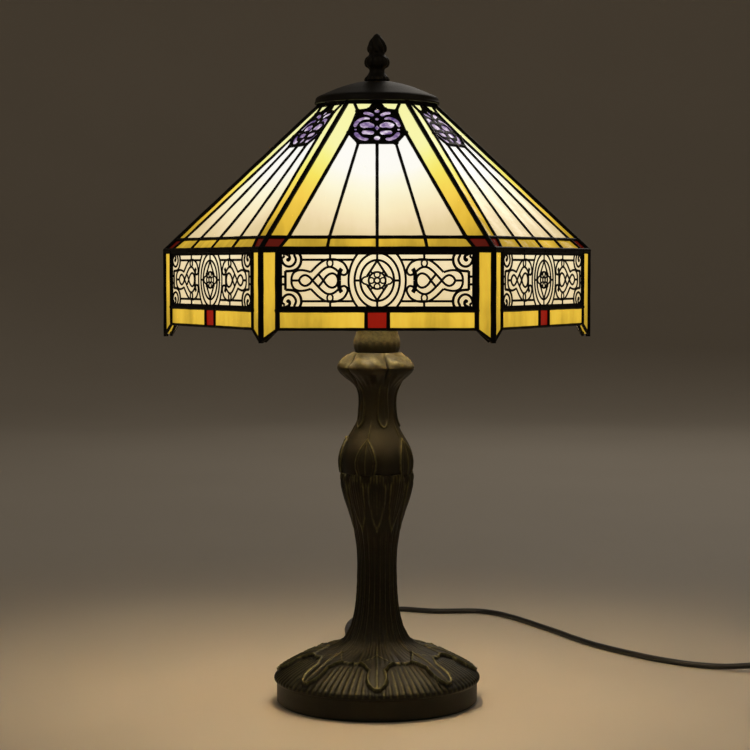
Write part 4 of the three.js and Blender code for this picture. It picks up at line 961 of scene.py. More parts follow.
def tube(path, across, upright, half_width, half_height, sides=10):
    """Oval section carried along a path, in millimetres, its ends drawn shut. across and upright
    are its two unit directions at each step."""
    angle = np.linspace(0, 2 * np.pi, sides, endpoint=False)
    wide = np.broadcast_to(half_width, len(path))[:, None, None]
    tall = np.broadcast_to(half_height, len(path))[:, None, None]
    offset = wide * np.cos(angle)[None, :, None] * across[:, None, :]
    offset = offset + tall * np.sin(angle)[None, :, None] * upright[:, None, :]
    rings = path[:, None, :] + offset
    ends = [np.broadcast_to(path[i][None, None, :], (1, sides, 3)) for i in (0, -1)]
    rings = np.concatenate([ends[0], rings, ends[1]])
    return rings.reshape(-1, 3), grid_faces(len(rings), sides, close_columns=True)


def planar_tube(path, normal, half_width, half_height, sides=10):
    """A tube whose path lies in a plane, from the plane's normal."""
    along = np.gradient(path, axis=0)
    along = along / np.linalg.norm(along, axis=1, keepdims=True)
    upright = np.broadcast_to(np.asarray(normal, float), path.shape)
    return tube(path, np.cross(along, upright), upright, half_width, half_height, sides)


def harp_path():
    """Middle line of the bow: its right side up from the foot, then the same mirrored down the left."""
    foot_z = harp_low.z / MM
    rise = harp_high.z / MM - HARP_WIRE - foot_z
    side = [[HARP_HALF, 0], [HARP_HALF, 0.17], [HARP_HALF + 5.5, 0.28], [HARP_WIDEST, 0.43],
            [HARP_WIDEST - 0.7, 0.62], [HARP_WIDEST - 6.5, 0.8], [HARP_WIDEST - 17, 0.925], [11, 0.988]]
    right = np.array([[x, 0, foot_z + rise * share] for x, share in side])
    left = right[::-1] * np.array([-1, 1, 1])
    return smooth(np.concatenate([right, [[0, 0, foot_z + rise]], left]), 2.0)


harp_points, harp_quads = planar_tube(harp_path(), (0, 1, 0), HARP_WIRE, HARP_WIRE, 20)
harp = make("harp_bow", harp_points * MM, outward(harp_points, harp_quads), aged_brass, "stand", sharp=50)
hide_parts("harp")

for side, sign in (("left", -1), ("right", 1)):
    low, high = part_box(f"harp_sleeve_{side}")
    base = low.z / MM
    sleeve_rows = np.concatenate([
        [[2.7, 0], [3.5, 0], [3.8, 0.4]],
        np.stack([np.full(14, 4.0), np.linspace(0.8, 11.2, 14)], axis=-1),
        [[3.8, 11.6], [3.5, 12], [2.7, 12]],
    ]) + np.array([0, base])
    knurl_angle = np.linspace(0, 2 * np.pi, 96, endpoint=False)
    knurled = (sleeve_rows[:, :1] > 3.9) * step_up(sleeve_rows[:, 1:2] - base - 2, 0.6)
    knurl = -0.22 * knurled * np.maximum(0, np.cos(24 * knurl_angle)) ** 2
    sleeve_rows, knurl = closed(sleeve_rows), np.concatenate([knurl, knurl[:1]])
    sleeve = turned_piece(f"sleeve_{side}", sleeve_rows, 96, aged_brass, f"harp_sleeve_{side}", swell=knurl,
                          centre=(sign * HARP_HALF * MM, 0))
    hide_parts(f"harp_sleeve_{side}")

stud_low, stud_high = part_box("harp_stud")
stud_z = stud_low.z / MM
stud_top = stud_high.z / MM
STUD = 3.0
stud_rows = np.concatenate([
    [[0, stud_z], [5.2, stud_z], [6, stud_z + 0.6], [6, stud_z + 2.2], [5.6, stud_z + 2.7],
     [STUD, stud_z + 2.7]],
    np.stack([np.full(110, STUD), np.linspace(stud_z + 3, stud_top - 0.6, 110)], axis=-1),
    [[STUD - 0.6, stud_top], [0, stud_top]],
])
stud = turned_piece("shade_stud", stud_rows, 40, aged_brass, "stand",
                    swell=thread_swell(stud_rows, 40, 1.0, 0.3, stud_z + 3, stud_top))
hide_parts("harp_stud")

# ---- Glass of the shade --------------------------------------------------------------------------
# 126 pieces of 3 mm art glass: cream-white panes and amber strips in each roof face, red corners,
# a purple medallion at the head, and a skirt of amber strips round a pale window. Each piece is a
# slab of its own with a hand-rolled ripple and stands clear of its neighbours. The bulb's light
# through the glass is painted in: each piece glows by emission, brighter where nearer the bulb.
FACES = 6
frame_low, frame_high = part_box("lead_frame")
SHADE_CORNER = frame_high.x / MM
APOTHEM = SHADE_CORNER * np.cos(np.pi / 6)
LEG_DROP = 9.0
SKIRT_DROP = 52.0
BEND_Z = frame_low.z / MM + SKIRT_DROP + LEG_DROP
ROOF_SLOPE = np.radians(47.1)
ROOF_LENGTH = 140.2
BORDER = 11.5
GLASS_TOP = -1.4
GLASS_THICK = 3.0
SEAM = 0.5
WINDOW_DROP = 39.8
SKIRT_STRIP = 64.5
RED_HALF = 7.2


def roof_half(up):
    """Half the width of a roof face at a distance up its slope."""
    return (APOTHEM - np.asarray(up, float) * np.cos(ROOF_SLOPE)) / np.sqrt(3)


def on_face(points, index, slope):
    """From a face's own frame, across, up and out, to the lamp's, in millimetres."""
    x, y, z = points[:, 0], points[:, 1], points[:, 2]
    depth = -APOTHEM + y * np.cos(slope) - z * np.sin(slope)
    height = BEND_Z + y * np.sin(slope) + z * np.cos(slope)
    turn = index * 2 * np.pi / FACES
    c, s = np.cos(turn), np.sin(turn)
    return np.stack([x * c - depth * s, x * s + depth * c, height], axis=-1)


def pane(left, right, cell=4.5):
    """Slab between two side lines given bottom to top. The face has a slow ripple and eased edges,
    and the rows at both ends are drawn to the middle of the thickness to close it."""
    left, right = np.asarray(left, float), np.asarray(right, float)
    length = np.linalg.norm(np.diff((left + right) / 2, axis=0), axis=1)
    at = np.concatenate([[0], np.cumsum(length)])
    trim = SEAM / at[-1]
    share = np.linspace(trim, 1 - trim, max(3, int(at[-1] / cell) + 2)) * at[-1]
    share = np.sort(np.concatenate([share, at[1:-1]]))
    side = [np.stack([np.interp(share, at, line[:, i]) for i in (0, 1)], axis=-1) for line in (left, right)]
    width = np.linalg.norm(side[1] - side[0], axis=1)
    columns = max(3, int(width.max() / cell) + 2)
    spare = SEAM / np.maximum(width, 2.5 * SEAM)
    across = spare[:, None] + (1 - 2 * spare[:, None]) * np.linspace(0, 1, columns)
    flat = side[0][:, None] + across[:, :, None] * (side[1] - side[0])[:, None]
    phase = rng.uniform(0, 2 * np.pi, 4)
    ripple = 0.10 * np.sin(flat[..., 0] * 0.34 + 0.8 * np.sin(flat[..., 1] * 0.11 + phase[0]) + phase[1])
    ripple = ripple + 0.07 * np.sin(flat[..., 1] * 0.27 + 0.6 * np.sin(flat[..., 0] * 0.2 + phase[2])
                                    + phase[3])
    front = np.concatenate([flat, (GLASS_TOP + ripple)[..., None]], axis=-1)
    back = np.concatenate([flat, (GLASS_TOP - GLASS_THICK + ripple)[..., None]], axis=-1)[:, ::-1]
    loop = np.concatenate([front, back], axis=1)
    ends = [loop[i].copy() for i in (0, -1)]
    for end in ends:
        end[:, 2] = GLASS_TOP - GLASS_THICK / 2
    loop = np.concatenate([ends[0][None], loop, ends[1][None]])
    return loop.reshape(-1, 3), grid_faces(len(loop), loop.shape[1], close_columns=True)


def mirror(shape):
    """The same piece on the other side of the face."""
    left, right = shape
    return np.asarray(right) * [-1, 1], np.asarray(left) * [-1, 1]


def both(*shapes):
    """Each shape and its mirror image, one after the other."""
    return [made for shape in shapes for made in (shape, mirror(shape))]


MEDALLION = np.array([[12.7, 100], [19.4, 110], [13.2, 131.5], [5.5, 133], [1.8, ROOF_LENGTH]])
strip_side = np.array([[57.7, BORDER], [19.4, 110], [13.2, 131.5], [15.8, ROOF_LENGTH]])
strip_edge = np.stack([roof_half(strip_side[:, 1]) - 1.2, strip_side[:, 1]], axis=-1)
roof_amber = both(
    (strip_side, strip_edge),
    ([[5.5, 133], [1.8, ROOF_LENGTH]], [[13.2, 131.5], [15.8, ROOF_LENGTH]]),
    ([[32.5, 0.6], [31, BORDER]], [[63.9, 0.6], [57.7, BORDER]]),
    ([[0, 0.6], [0, BORDER]], [[32.5, 0.6], [31, BORDER]]),
)
roof_white = both(
    ([[31, BORDER], [12.7, 100]], [[57.7, BORDER], [19.4, 110]]),
    ([[0, BORDER], [0, 100]], [[31, BORDER], [12.7, 100]]),
)
roof_red = both(([[63.9, 0.6], [57.7, BORDER]], [[roof_half(0) - 1.8, 0.6],
                                                 [roof_half(BORDER) - 1.6, BORDER]]))
medallion = [(MEDALLION[:4] * [-1, 1], MEDALLION[:4])]
corner_x = float(roof_half(0)) - 1.8
skirt_amber = both(
    ([[SKIRT_STRIP, -SKIRT_DROP], [SKIRT_STRIP, -0.8]],
     [[corner_x, -SKIRT_DROP - LEG_DROP + 1], [corner_x, -0.8]]),
    ([[RED_HALF, -SKIRT_DROP], [RED_HALF, -WINDOW_DROP]],
     [[SKIRT_STRIP, -SKIRT_DROP], [SKIRT_STRIP, -WINDOW_DROP]]),
)
window = [([[-SKIRT_STRIP, -WINDOW_DROP], [-SKIRT_STRIP, -0.8]],
           [[SKIRT_STRIP, -WINDOW_DROP], [SKIRT_STRIP, -0.8]])]
skirt_red = [([[-RED_HALF, -SKIRT_DROP], [-RED_HALF, -WINDOW_DROP]],
              [[RED_HALF, -SKIRT_DROP], [RED_HALF, -WINDOW_DROP]])]


def gather(shells):
    """Several closed shells as one list of points and one of faces."""
    starts = np.cumsum([0] + [len(points) for points, _ in shells[:-1]])
    faces = np.concatenate([faces + start for (_, faces), start in zip(shells, starts)])
    return np.concatenate([points for points, _ in shells]), faces


GLOW_FULL = 1.5e-4


def painted_backlight(points, index, slope):
    """Painted light from the bulb on a face, kept as a glow mark for the glass's emission: falls with
    the cube of the distance, times how squarely the face looks at the bulb, as a share of the brightest."""
    out = on_face(np.array([[0, 0, 1.0]]), index, slope) - on_face(np.array([[0, 0, 0.0]]), index, slope)
    away = points - np.array([0, 0, bulb_centre])
    distance = np.linalg.norm(away, axis=1)
    return np.clip((away @ out[0]) / distance**3 / GLOW_FULL, 0, 1)


def painted_backlit_streaks():
    """Streaks drawn along a glass piece, and the lamp's light through it painted as a glow: the painted
    glow mark plus the streak's noise carried to Least..Most."""
    group, given, result = new_group("painted_backlit_streaks",
                                     [("Streaks", "Vector"), ("Least", "Float"), ("Most", "Float")],
                                     [("Wisp", "Float"), ("Light", "Float")])
    painted_glow = group.nodes.new("ShaderNodeAttribute")
    painted_glow.attribute_name = "painted_glow"
    pull = group.nodes.new("ShaderNodeAttribute")
    pull.attribute_name = "draw"
    stretched = group.nodes.new("ShaderNodeMapping")
    group.links.new(given.outputs["Streaks"], stretched.inputs["Scale"])
    group.links.new(pull.outputs["Vector"], stretched.inputs["Vector"])
    wisp = noise(group, 1.0, detail=5, vector=stretched.outputs["Vector"], roughness=0.6)
    shift = spread(group, wisp, 0.0, 1.0, 0.3, 0.7)
    group.links.new(given.outputs["Least"], shift.node.inputs["To Min"])
    group.links.new(given.outputs["Most"], shift.node.inputs["To Max"])
    total = group.nodes.new("ShaderNodeMath")
    total.operation = "ADD"
    group.links.new(painted_glow.outputs["Fac"], total.inputs[0])
    group.links.new(shift, total.inputs[1])
    group.links.new(wisp, result.inputs["Wisp"])
    group.links.new(total.outputs[0], result.inputs["Light"])
    return group


STREAKS = painted_backlit_streaks()


def art_glass(name, lit, unlit, streaks, drift, dim=0.0):
    """Opal art glass with the lamp behind it. The lamp's light through it is painted as emission: the
    painted glow mark picks the colour that shines out, and the streaks pick the colour of its surface."""
    material, tree, shader = nodes_of(name)
    made = use_group(tree, STREAKS, Streaks=streaks, Least=-drift - dim, Most=drift - dim)
    tree.links.new(ramp(tree, made["Light"], [(at, paint(*color)) for at, color in lit]),
                   shader.inputs["Emission Color"])
    shader.inputs["Emission Strength"].default_value = 0.92
    surface = [(0.3, paint(*unlit[0])), (0.7, paint(*unlit[1]))]
    tree.links.new(ramp(tree, made["Wisp"], surface), shader.inputs["Base Color"])
    shader.inputs["Roughness"].default_value = 0.14
    shader.inputs["IOR"].default_value = 1.5
    material.cycles.emission_sampling = "NONE"
    bump(tree, shader, noise(tree, 180, detail=2), 0.0004, 0.5)
    return material


# Colours that each glass shines with by emission, from no painted glow to full painted glow.
white_lit = [(0.0, (196, 170, 120)), (0.199, (228, 206, 156)), (0.247, (241, 220, 176)),
             (0.313, (249, 234, 190)),
             (0.48, (254, 249, 217)), (0.733, (255, 254, 246)), (1.0, (255, 254, 250))]
amber_lit = [(0.0, (150, 116, 26)), (0.146, (184, 151, 44)), (0.2, (228, 187, 58)), (0.32, (248, 210, 80)),
             (0.5, (250, 233, 98)), (0.75, (251, 248, 140)), (1.0, (252, 252, 178))]
red_lit = [(0.0, (40, 8, 4)), (0.15, (84, 18, 8)), (0.2, (142, 22, 9)), (0.3, (156, 26, 12))]
purple_lit = [(0.0, (40, 28, 70)), (0.42, (84, 62, 124)), (0.64, (140, 116, 160)), (0.84, (206, 186, 214)),
              (1.0, (248, 240, 252))]
white_glass = art_glass("cream_white_glass", white_lit, ((206, 196, 170), (226, 220, 202)), (26, 9, 1),
                        0.035)
amber_glass = art_glass("amber_glass", amber_lit, ((170, 122, 30), (206, 160, 60)), (60, 12, 1), 0.045)
red_glass = art_glass("red_glass", red_lit, ((92, 12, 8), (120, 18, 10)), (40, 20, 1), 0.03)
purple_glass = art_glass("purple_glass", purple_lit, ((70, 56, 112), (170, 150, 190)), (110, 150, 1), 0.42,
                         0.28)
window_glass = art_glass("pale_window_glass", white_lit, ((214, 200, 166), (232, 222, 196)), (30, 22, 1),
                         0.03)

EDGE_ON = np.pi / 2
PANE_KINDS = (
    ("roof_white", roof_white, ROOF_SLOPE, white_glass, "white_glass", "roof_panel"),
    ("roof_amber", roof_amber, ROOF_SLOPE, amber_glass, "amber_glass", "roof_panel"),
    ("roof_red", roof_red, ROOF_SLOPE, red_glass, "amber_glass", "roof_panel"),
    ("medallion_glass", medallion, ROOF_SLOPE, purple_glass, "purple_glass", "medallion"),
    ("skirt_amber", skirt_amber, EDGE_ON, amber_glass, "amber_glass", "skirt_panel"),
    ("skirt_window", window, EDGE_ON, window_glass, "white_glass", "skirt_panel"),
    ("skirt_red", skirt_red, EDGE_ON, red_glass, "amber_glass", "skirt_panel"),
)
for index in range(FACES):
    for kind, shapes, slope, glass, slot, node in PANE_KINDS:
        slabs = [pane(*shape) for shape in shapes]
        flat, quads = gather(slabs)
        points = on_face(flat, index, slope)
        shift = rng.uniform(0, 40, (len(slabs), 1, 3)) * [1, 1, 0]
        draw = np.concatenate([slab * MM + offset for (slab, _), offset in zip(slabs, shift)])
        marks = {"painted_glow": painted_backlight(points, index, slope), "draw": draw}
        piece = make(f"{kind}_{index + 1}", points * MM, outward(points, quads), glass, "shade", marks,
                     sharp=40)
        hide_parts(f"{node}_{index + 1}")

# ---- Lead lines ----------------------------------------------------------------------------------
# Every piece of glass is wrapped in foil and soldered to the next: a rounded bead of dark-patinated
# solder stands on both sides of each joint, with a lump where beads meet. Stouter round bars carry
# the ridges, the bend and the corners.
SOLDER_STEP = 3.5
BEAD_RISE = 1.15


def wobble(count, amount):
    """Slow uneven swelling along a bead, from three sines with phases of their own."""
    at = np.arange(count)
    phase = rng.uniform(0, 2 * np.pi, 3)
    waves = np.sin(at * 0.9 + phase[0]) + np.sin(at * 0.47 + phase[1]) + np.sin(at * 1.7 + phase[2])
    return 1 + amount * waves / 3


def straight(start, end, step=SOLDER_STEP):
    """Evenly spaced points: start plus the way to the end times a share from 0 to 1."""
    start, end = np.asarray(start, float), np.asarray(end, float)
    count = max(3, int(np.linalg.norm(end - start) / step) + 1)
    return start + (end - start) * np.linspace(0, 1, count)[:, None]


def bead(start, end, width, index, slope, depth):
    """Oval solder bead between two points of a face, swelling and thinning a little."""
    path = straight(start, end)
    path = np.concatenate([path, np.full((len(path), 1), depth)], axis=1)
    swell = wobble(len(path), 0.09)
    points, faces = planar_tube(path, (0, 0, 1), width / 2 * swell, BEAD_RISE * swell, 10)
    return on_face(points, index, slope), faces


def lump(at, size, index, slope, depth):
    """Low round solder lump: rings of a flattened ball."""
    rings = np.linspace(0, np.pi, 7)
    angle = np.linspace(0, 2 * np.pi, 12, endpoint=False)
    x = at[0] + size * np.sin(rings)[:, None] * np.cos(angle)
    y = at[1] + size * np.sin(rings)[:, None] * np.sin(angle)
    z = depth + 1.35 * np.cos(rings)[:, None] + 0 * angle
    points = np.stack([x, y, z], axis=-1).reshape(-1, 3)
    return on_face(points, index, slope), grid_faces(7, 12, close_columns=True)


def half_and_mirror(lines):
    """Each line of the right half of a face, followed by its mirror image."""
    return [line for start, end, width in lines
            for line in ((start, end, width), ([-start[0], start[1]], [-end[0], end[1]], width))]


edge_at_border = float(roof_half(BORDER))
roof_lines = half_and_mirror([
    ([57.7, BORDER], [19.4, 110], 2.7),
    ([19.4, 110], [13.2, 131.5], 2.5),
    ([13.2, 131.5], [15.8, ROOF_LENGTH], 2.4),
    ([31, BORDER], [12.7, 100], 2.2),
    ([12.7, 100], [19.4, 110], 2.4),
    ([63.9, 0.6], [57.7, BORDER], 2.3),
    ([32.5, 0.6], [31, BORDER], 2.3),
    ([13.2, 131.5], [5.5, 133], 2.2),
    ([float(roof_half(0)) - 1.1, 0], [float(roof_half(ROOF_LENGTH)) - 1.1, ROOF_LENGTH], 2.1),
    ([5.5, 133], [1.8, ROOF_LENGTH], 2.2),
]) + [
    ([0, BORDER], [0, 100], 2.3),
    ([-12.7, 100], [12.7, 100], 2.4),
    ([-edge_at_border, BORDER], [edge_at_border, BORDER], 2.7),
    ([0, 0.6], [0, BORDER], 2.2),
    ([-22, ROOF_LENGTH], [22, ROOF_LENGTH], 2.6),
    ([-75, 0.9], [75, 0.9], 2.2),
]
skirt_lines = half_and_mirror([
    ([SKIRT_STRIP, -SKIRT_DROP - 0.4], [SKIRT_STRIP, -0.4], 3.3),
    ([RED_HALF, -SKIRT_DROP], [RED_HALF, -WINDOW_DROP], 2.5),
    ([SKIRT_STRIP, -SKIRT_DROP], [75.6, -SKIRT_DROP - LEG_DROP + 0.8], 2.1),
    ([float(roof_half(0)) - 1.5, -SKIRT_DROP - LEG_DROP + 1.6], [float(roof_half(0)) - 1.5, 0], 2.8),
]) + [
    ([-SKIRT_STRIP, -WINDOW_DROP], [SKIRT_STRIP, -WINDOW_DROP], 2.8),
    ([-SKIRT_STRIP, -SKIRT_DROP], [SKIRT_STRIP, -SKIRT_DROP], 2.0),
    ([-75.5, -1.2], [75.5, -1.2], 2.4),
]


def behind(point):
    """The same point on the back of the glass, kept clear of the next face's glass."""
    limit = float(roof_half(max(point[1], 0))) - 3.4
    return [float(np.clip(point[0], -limit, limit)), point[1]]


lead_dark = mottled("dark_solder", (14, 12, 9), (27, 24, 19), 0.4, metallic=0.75, scale=130, depth=0.00018)
outer_beads, inner_beads = [], []
for index in range(FACES):
    for slope, lines in ((ROOF_SLOPE, roof_lines), (EDGE_ON, skirt_lines)):
        corners = {tuple(np.round(point, 1)) for start, end, _ in lines for point in (start, end)}
        corners = {corner for corner in corners
                   if abs(corner[0]) < 70 and -SKIRT_DROP < corner[1] < ROOF_LENGTH}
        back = GLASS_TOP - GLASS_THICK - 0.25
        for start, end, width in lines:
            outer_beads.append(bead(start, end, width, index, slope, GLASS_TOP + 0.25))
            inner_beads.append(bead(behind(start), behind(end), width, index, slope, back))
        for corner in sorted(corners):
            outer_beads.append(lump(corner, rng.uniform(1.7, 2.2), index, slope, GLASS_TOP + 0.25))
            inner_beads.append(lump(corner, rng.uniform(1.7, 2.2), index, slope, back))


def bar_on_corner(start, end, half_width, inward):
    """Round bar between two points on the shade's edges, set back towards the axis."""
    path = straight(start, end)
    pull = path * [1, 1, 0]
    path = path - inward * pull / np.linalg.norm(pull, axis=1, keepdims=True)
    along = np.gradient(path, axis=0)
    along = along / np.linalg.norm(along, axis=1, keepdims=True)
    outwards = pull / np.linalg.norm(pull, axis=1, keepdims=True)
    across = np.cross(along, outwards)
    across = across / np.linalg.norm(across, axis=1, keepdims=True)
    swell = wobble(len(path), 0.06)
    return tube(path, across, np.cross(across, along), half_width * swell, half_width * swell, 12)


bars = []
roof_top_z = BEND_Z + ROOF_LENGTH * np.sin(ROOF_SLOPE)
top_corner = float(roof_half(ROOF_LENGTH)) * 2
for index in range(FACES):
    turn = index * 2 * np.pi / FACES
    following = turn + 2 * np.pi / FACES
    low = np.array([SHADE_CORNER * np.cos(turn), SHADE_CORNER * np.sin(turn), BEND_Z])
    beside = np.array([SHADE_CORNER * np.cos(following), SHADE_CORNER * np.sin(following), BEND_Z])
    high = np.array([top_corner * np.cos(turn), top_corner * np.sin(turn), roof_top_z])
    hanging = low - [0, 0, SKIRT_DROP + LEG_DROP]
    bars.append(bar_on_corner(low, high, 1.7, 1.7))
    bars.append(bar_on_corner(hanging, low, 1.7, 1.9))
    bars.append(bar_on_corner(low, beside, 1.65, 1.6))
band_line = np.array([[36.4, 425.4], [36.6, 425.4], [36.6, 427.6], [35.7, 427.6], [35.7, 425.4]])
around = np.arange(FACES) * 2 * np.pi / FACES
band_rows = band_line[:, None, :1] / np.cos(np.pi / 6) * np.stack([np.cos(around), np.sin(around)], axis=-1)
band_rows = np.concatenate([band_rows, np.repeat(band_line[:, None, 1:], FACES, axis=1)], axis=2)
bars.append((band_rows.reshape(-1, 3), grid_faces(len(band_line), FACES, close_rows=True,
                                                  close_columns=True)))
for name, shells in (("lead_lines_outside", outer_beads), ("lead_lines_inside", inner_beads),
                     ("lead_bars", bars)):
    points, quads = gather(shells)
    leading = make(name, points * MM, outward(points, quads), lead_dark, "shade", sharp=60)
    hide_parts("lead_frame")

# ---- Filigree ------------------------------------------------------------------------------------
# Thin blackened metal openwork in each skirt window: an oval medallion of three rings and a
# rosette, with looped straps, rails and corner scrolls to each side, alike in all four quarters.
WINDOW_HALF = (62.4, 17.7)
WIRE = 1.12
WIRE_RISE = 0.5
WIRE_BOLD = 1.4
FILIGREE_DEPTH = GLASS_TOP + 0.25


def oval(x, y, wide, tall, start=0.0, stop=2 * np.pi):
    """Points round an ellipse between two angles, about a millimetre apart."""
    count = max(9, int(abs(stop - start) * max(wide, tall) / 0.9))
    angle = np.linspace(start, stop, count)
    return np.stack([x + wide * np.cos(angle), y + tall * np.sin(angle)], axis=-1)


def strap(points):
    """Smooth path of a flat wire through the points."""
    return smooth(points, 0.9)


big_ring_angle = float(np.arcsin(WINDOW_HALF[1] / 23.5))
quarter = [
    (oval(0, 0, 18.5, 23.5, np.pi - big_ring_angle, np.pi), 1.1),
    (oval(0, 0, 14.6, 17.9, np.pi / 2, np.pi), 1.1),
    (oval(0, 0, 10.9, 13.2, np.pi / 2, np.pi), 1.1),
    (straight([0, 12.8], [-6.8, 2.4], 1), 1.1),
    (strap([[-6.8, 2.4], [-8.2, 2.2], [-9.4, 1.3], [-10.2, 0]]), 0.9),
    (straight([-2.9, 4.4], [-4.8, 6.6], 1), 0.9),
    (straight([-4.6, 2.6], [-6.3, 4.6], 1), 0.9),
    (straight([-48.9, 13.4], [-15.1, 13.4], 2), WIRE),
    (straight([-30.4, 13.4], [-30.4, WINDOW_HALF[1]], 1), WIRE),
    (strap([[-55.4, 0], [-55.2, 2.4], [-53.9, 5], [-51.6, 6.4], [-48.9, 6.7], [-45.6, 6.2], [-42.9, 5.4]]),
     WIRE),
    (strap([[-42.9, 5.4], [-41.2, 7.2], [-37, 11.1], [-33.6, 13.2], [-30.4, 13.7], [-27, 13.6],
            [-24.2, 12.8],
            [-21.6, 11.2], [-19.9, 8.7], [-19.1, 6.3], [-19.7, 4.5], [-21.3, 3.5], [-23.2, 4]]), WIRE),
    (strap([[-41.8, 0], [-38, 4.1], [-35.1, 6.9], [-32.8, 8.4], [-30.9, 8.8], [-28.8, 8.4], [-26.8, 7.2],
            [-24.8, 5.4]]), WIRE),
    (strap([[-22.9, 7.7], [-23.7, 6.6], [-24.4, 4.6], [-24.7, 2], [-24.6, 0]]), 2.0),
    (strap([[-50.6, 0], [-49.2, 2.3], [-46.6, 3.5], [-44, 2.4], [-41.8, 0]]), WIRE),
    (straight([-38, 4.1], [-34.7, 0], 1), WIRE),
    (strap([[-34.7, 0], [-32.6, 2.9], [-30.6, 4.3], [-28.6, 4.6], [-26.8, 3.7], [-25.6, 1.8], [-25.3, 0]]),
     WIRE),
    (oval(-30.5, 11.2, 1.9, 2.4), 0.9),
    (strap([[-50.6, WINDOW_HALF[1]], [-49.4, 15.6], [-49.1, 13], [-49.8, 10.1], [-51.4, 7.9], [-53.6, 6.6],
            [-56.6, 6.1], [-59.3, 6]]), 1.3),
    (straight([-59.3, 6.2], [-59.3, 0], 1), 1.3),
    (straight([-62.4, 2.5], [-59.3, 2.5], 1), WIRE),
    (strap([[-53.9, WINDOW_HALF[1]], [-53.4, 16], [-52.5, 13.6], [-53.4, 11], [-55.2, 9.4], [-57.6, 9],
            [-60, 10.2], [-61.4, 12.4], [-61.8, 14.4]]), 1.2),
    (strap([[-59.8, WINDOW_HALF[1]], [-58.4, 16.9], [-57, 16.1], [-56.5, 14.6], [-57, 13.2], [-57.9, 12.9]]),
     1.4),
    (oval(-57.7, 13.4, 0.5, 0.5), 1.1),
    (oval(-61.7, 16.2, 1.7, 1.7), 1.1),
]
on_axes = [
    (oval(0, 0, 1.9, 1.9), 1.0),
    (oval(0, 0, 5.5, 5.5), 1.0),
    (oval(0, 3.8, 1.9, 1.9), 0.8),
    (oval(0, -3.8, 1.9, 1.9), 0.8),
    (oval(-3.8, 0, 1.9, 1.9), 0.8),
    (oval(3.8, 0, 1.9, 1.9), 0.8),
    (straight([0, 13.2], [0, 17.8], 1), 1.1),
    (straight([0, -13.2], [0, -17.8], 1), 1.1),
    (straight([-14.6, 0], [-10.9, 0], 1), 1.1),
    (straight([10.9, 0], [14.6, 0], 1), 1.1),
    (straight([-55.4, 0], [-50.6, 0], 1), WIRE),
    (straight([50.6, 0], [55.4, 0], 1), WIRE),
    (straight([-WINDOW_HALF[0], WINDOW_HALF[1]], [WINDOW_HALF[0], WINDOW_HALF[1]], 3), 1.5),
    (straight([-WINDOW_HALF[0], -WINDOW_HALF[1]], [WINDOW_HALF[0], -WINDOW_HALF[1]], 3), 1.5),
    (straight([-WINDOW_HALF[0], -WINDOW_HALF[1]], [-WINDOW_HALF[0], WINDOW_HALF[1]], 3), 1.5),
    (straight([WINDOW_HALF[0], -WINDOW_HALF[1]], [WINDOW_HALF[0], WINDOW_HALF[1]], 3), 1.5),
]
window_middle = -(WINDOW_DROP + 1.6) / 2 + 0.3
strokes = [(path * [x, y], width) for path, width in quarter for x in (1, -1) for y in (1, -1)] + on_axes


def flat_wire(path, width):
    """Strap of oval section lying on the glass."""
    path = path + [0, window_middle]
    path = np.concatenate([path, np.full((len(path), 1), FILIGREE_DEPTH)], axis=1)
    return planar_tube(path, (0, 0, 1), WIRE_BOLD * width / 2, WIRE_RISE, 8)


filigree_black = mottled("blackened_filigree", (10, 8, 6), (22, 18, 14), 0.45, metallic=0.7, scale=160,
                         depth=0.00008)
sheet_points, sheet_quads = gather([flat_wire(path, width) for path, width in strokes])
for index in range(FACES):
    points = on_face(sheet_points, index, EDGE_ON)
    filigree = make(f"filigree_{index + 1}", points * MM, outward(points, sheet_quads), filigree_black,
                    "shade", sharp=60)
    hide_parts(f"filigree_sheet_{index + 1}")

# ---- Medallion openwork --------------------------------------------------------------------------
# A pierced black plate over the purple glass at the head of each roof face: two rows of scrolls
# with a small diamond between them. It is cut from sheet, so it is a flat outline with holes.
PLATE_DEPTH = GLASS_TOP + 0.15
PLATE_HALF_THICK = 0.35


def brush(points, width):
    """Closed outline of a stroke that tapers to round ends: the path pushed out to both sides."""
    path = smooth(points, 0.7)
    along = np.gradient(path, axis=0)
    along = along / np.linalg.norm(along, axis=1, keepdims=True)
    side = np.stack([-along[:, 1], along[:, 0]], axis=-1)
    share = np.linspace(-1, 1, len(path))[:, None]
    half = width / 2 * np.sqrt(np.maximum(1 - np.abs(share) ** 6, 0.02))
    return np.concatenate([path + side * half, (path - side * half)[::-1]])


openings_left = [
    brush([[-10.6, 110.2], [-7, 110.2], [-4, 109.8], [-1.9, 109.5]], 4.3),
    brush([[-11.2, 115.6], [-8.6, 117.3], [-6.2, 117.8], [-3.8, 117.6], [-2.3, 118.6]], 6.0),
    brush([[-15.2, 115.2], [-14.6, 118.4], [-12.6, 121.8], [-9.6, 124.0], [-7, 124.3], [-4.9, 123.2]], 3.1),
    brush([[-14.9, 110.6], [-13.4, 107.3], [-11.2, 104.7], [-8.4, 103.5], [-5.6, 104.1]], 3.5),
    brush([[-9.6, 129.3], [-7.0, 129.3], [-4.6, 128.4], [-2.6, 126.2]], 3.3),
    oval(-14.7, 112.9, 1.1, 1.1)[:-1],
]
openings = openings_left + [shape * [-1, 1] for shape in openings_left] + [
    oval(0, 104.6, 2.2, 2.2)[:-1],
    oval(0, 123.3, 1.4, 1.5)[:-1],
    oval(0, 131.4, 1.8, 2.0)[:-1],
    np.array([[0, 117.2], [-1.9, 114.6], [0, 112.0], [1.9, 114.6]]),
]
right_side = MEDALLION + [[-0.3, 0]] * len(MEDALLION)
outline = np.concatenate([right_side, right_side[::-1] * [-1, 1]])


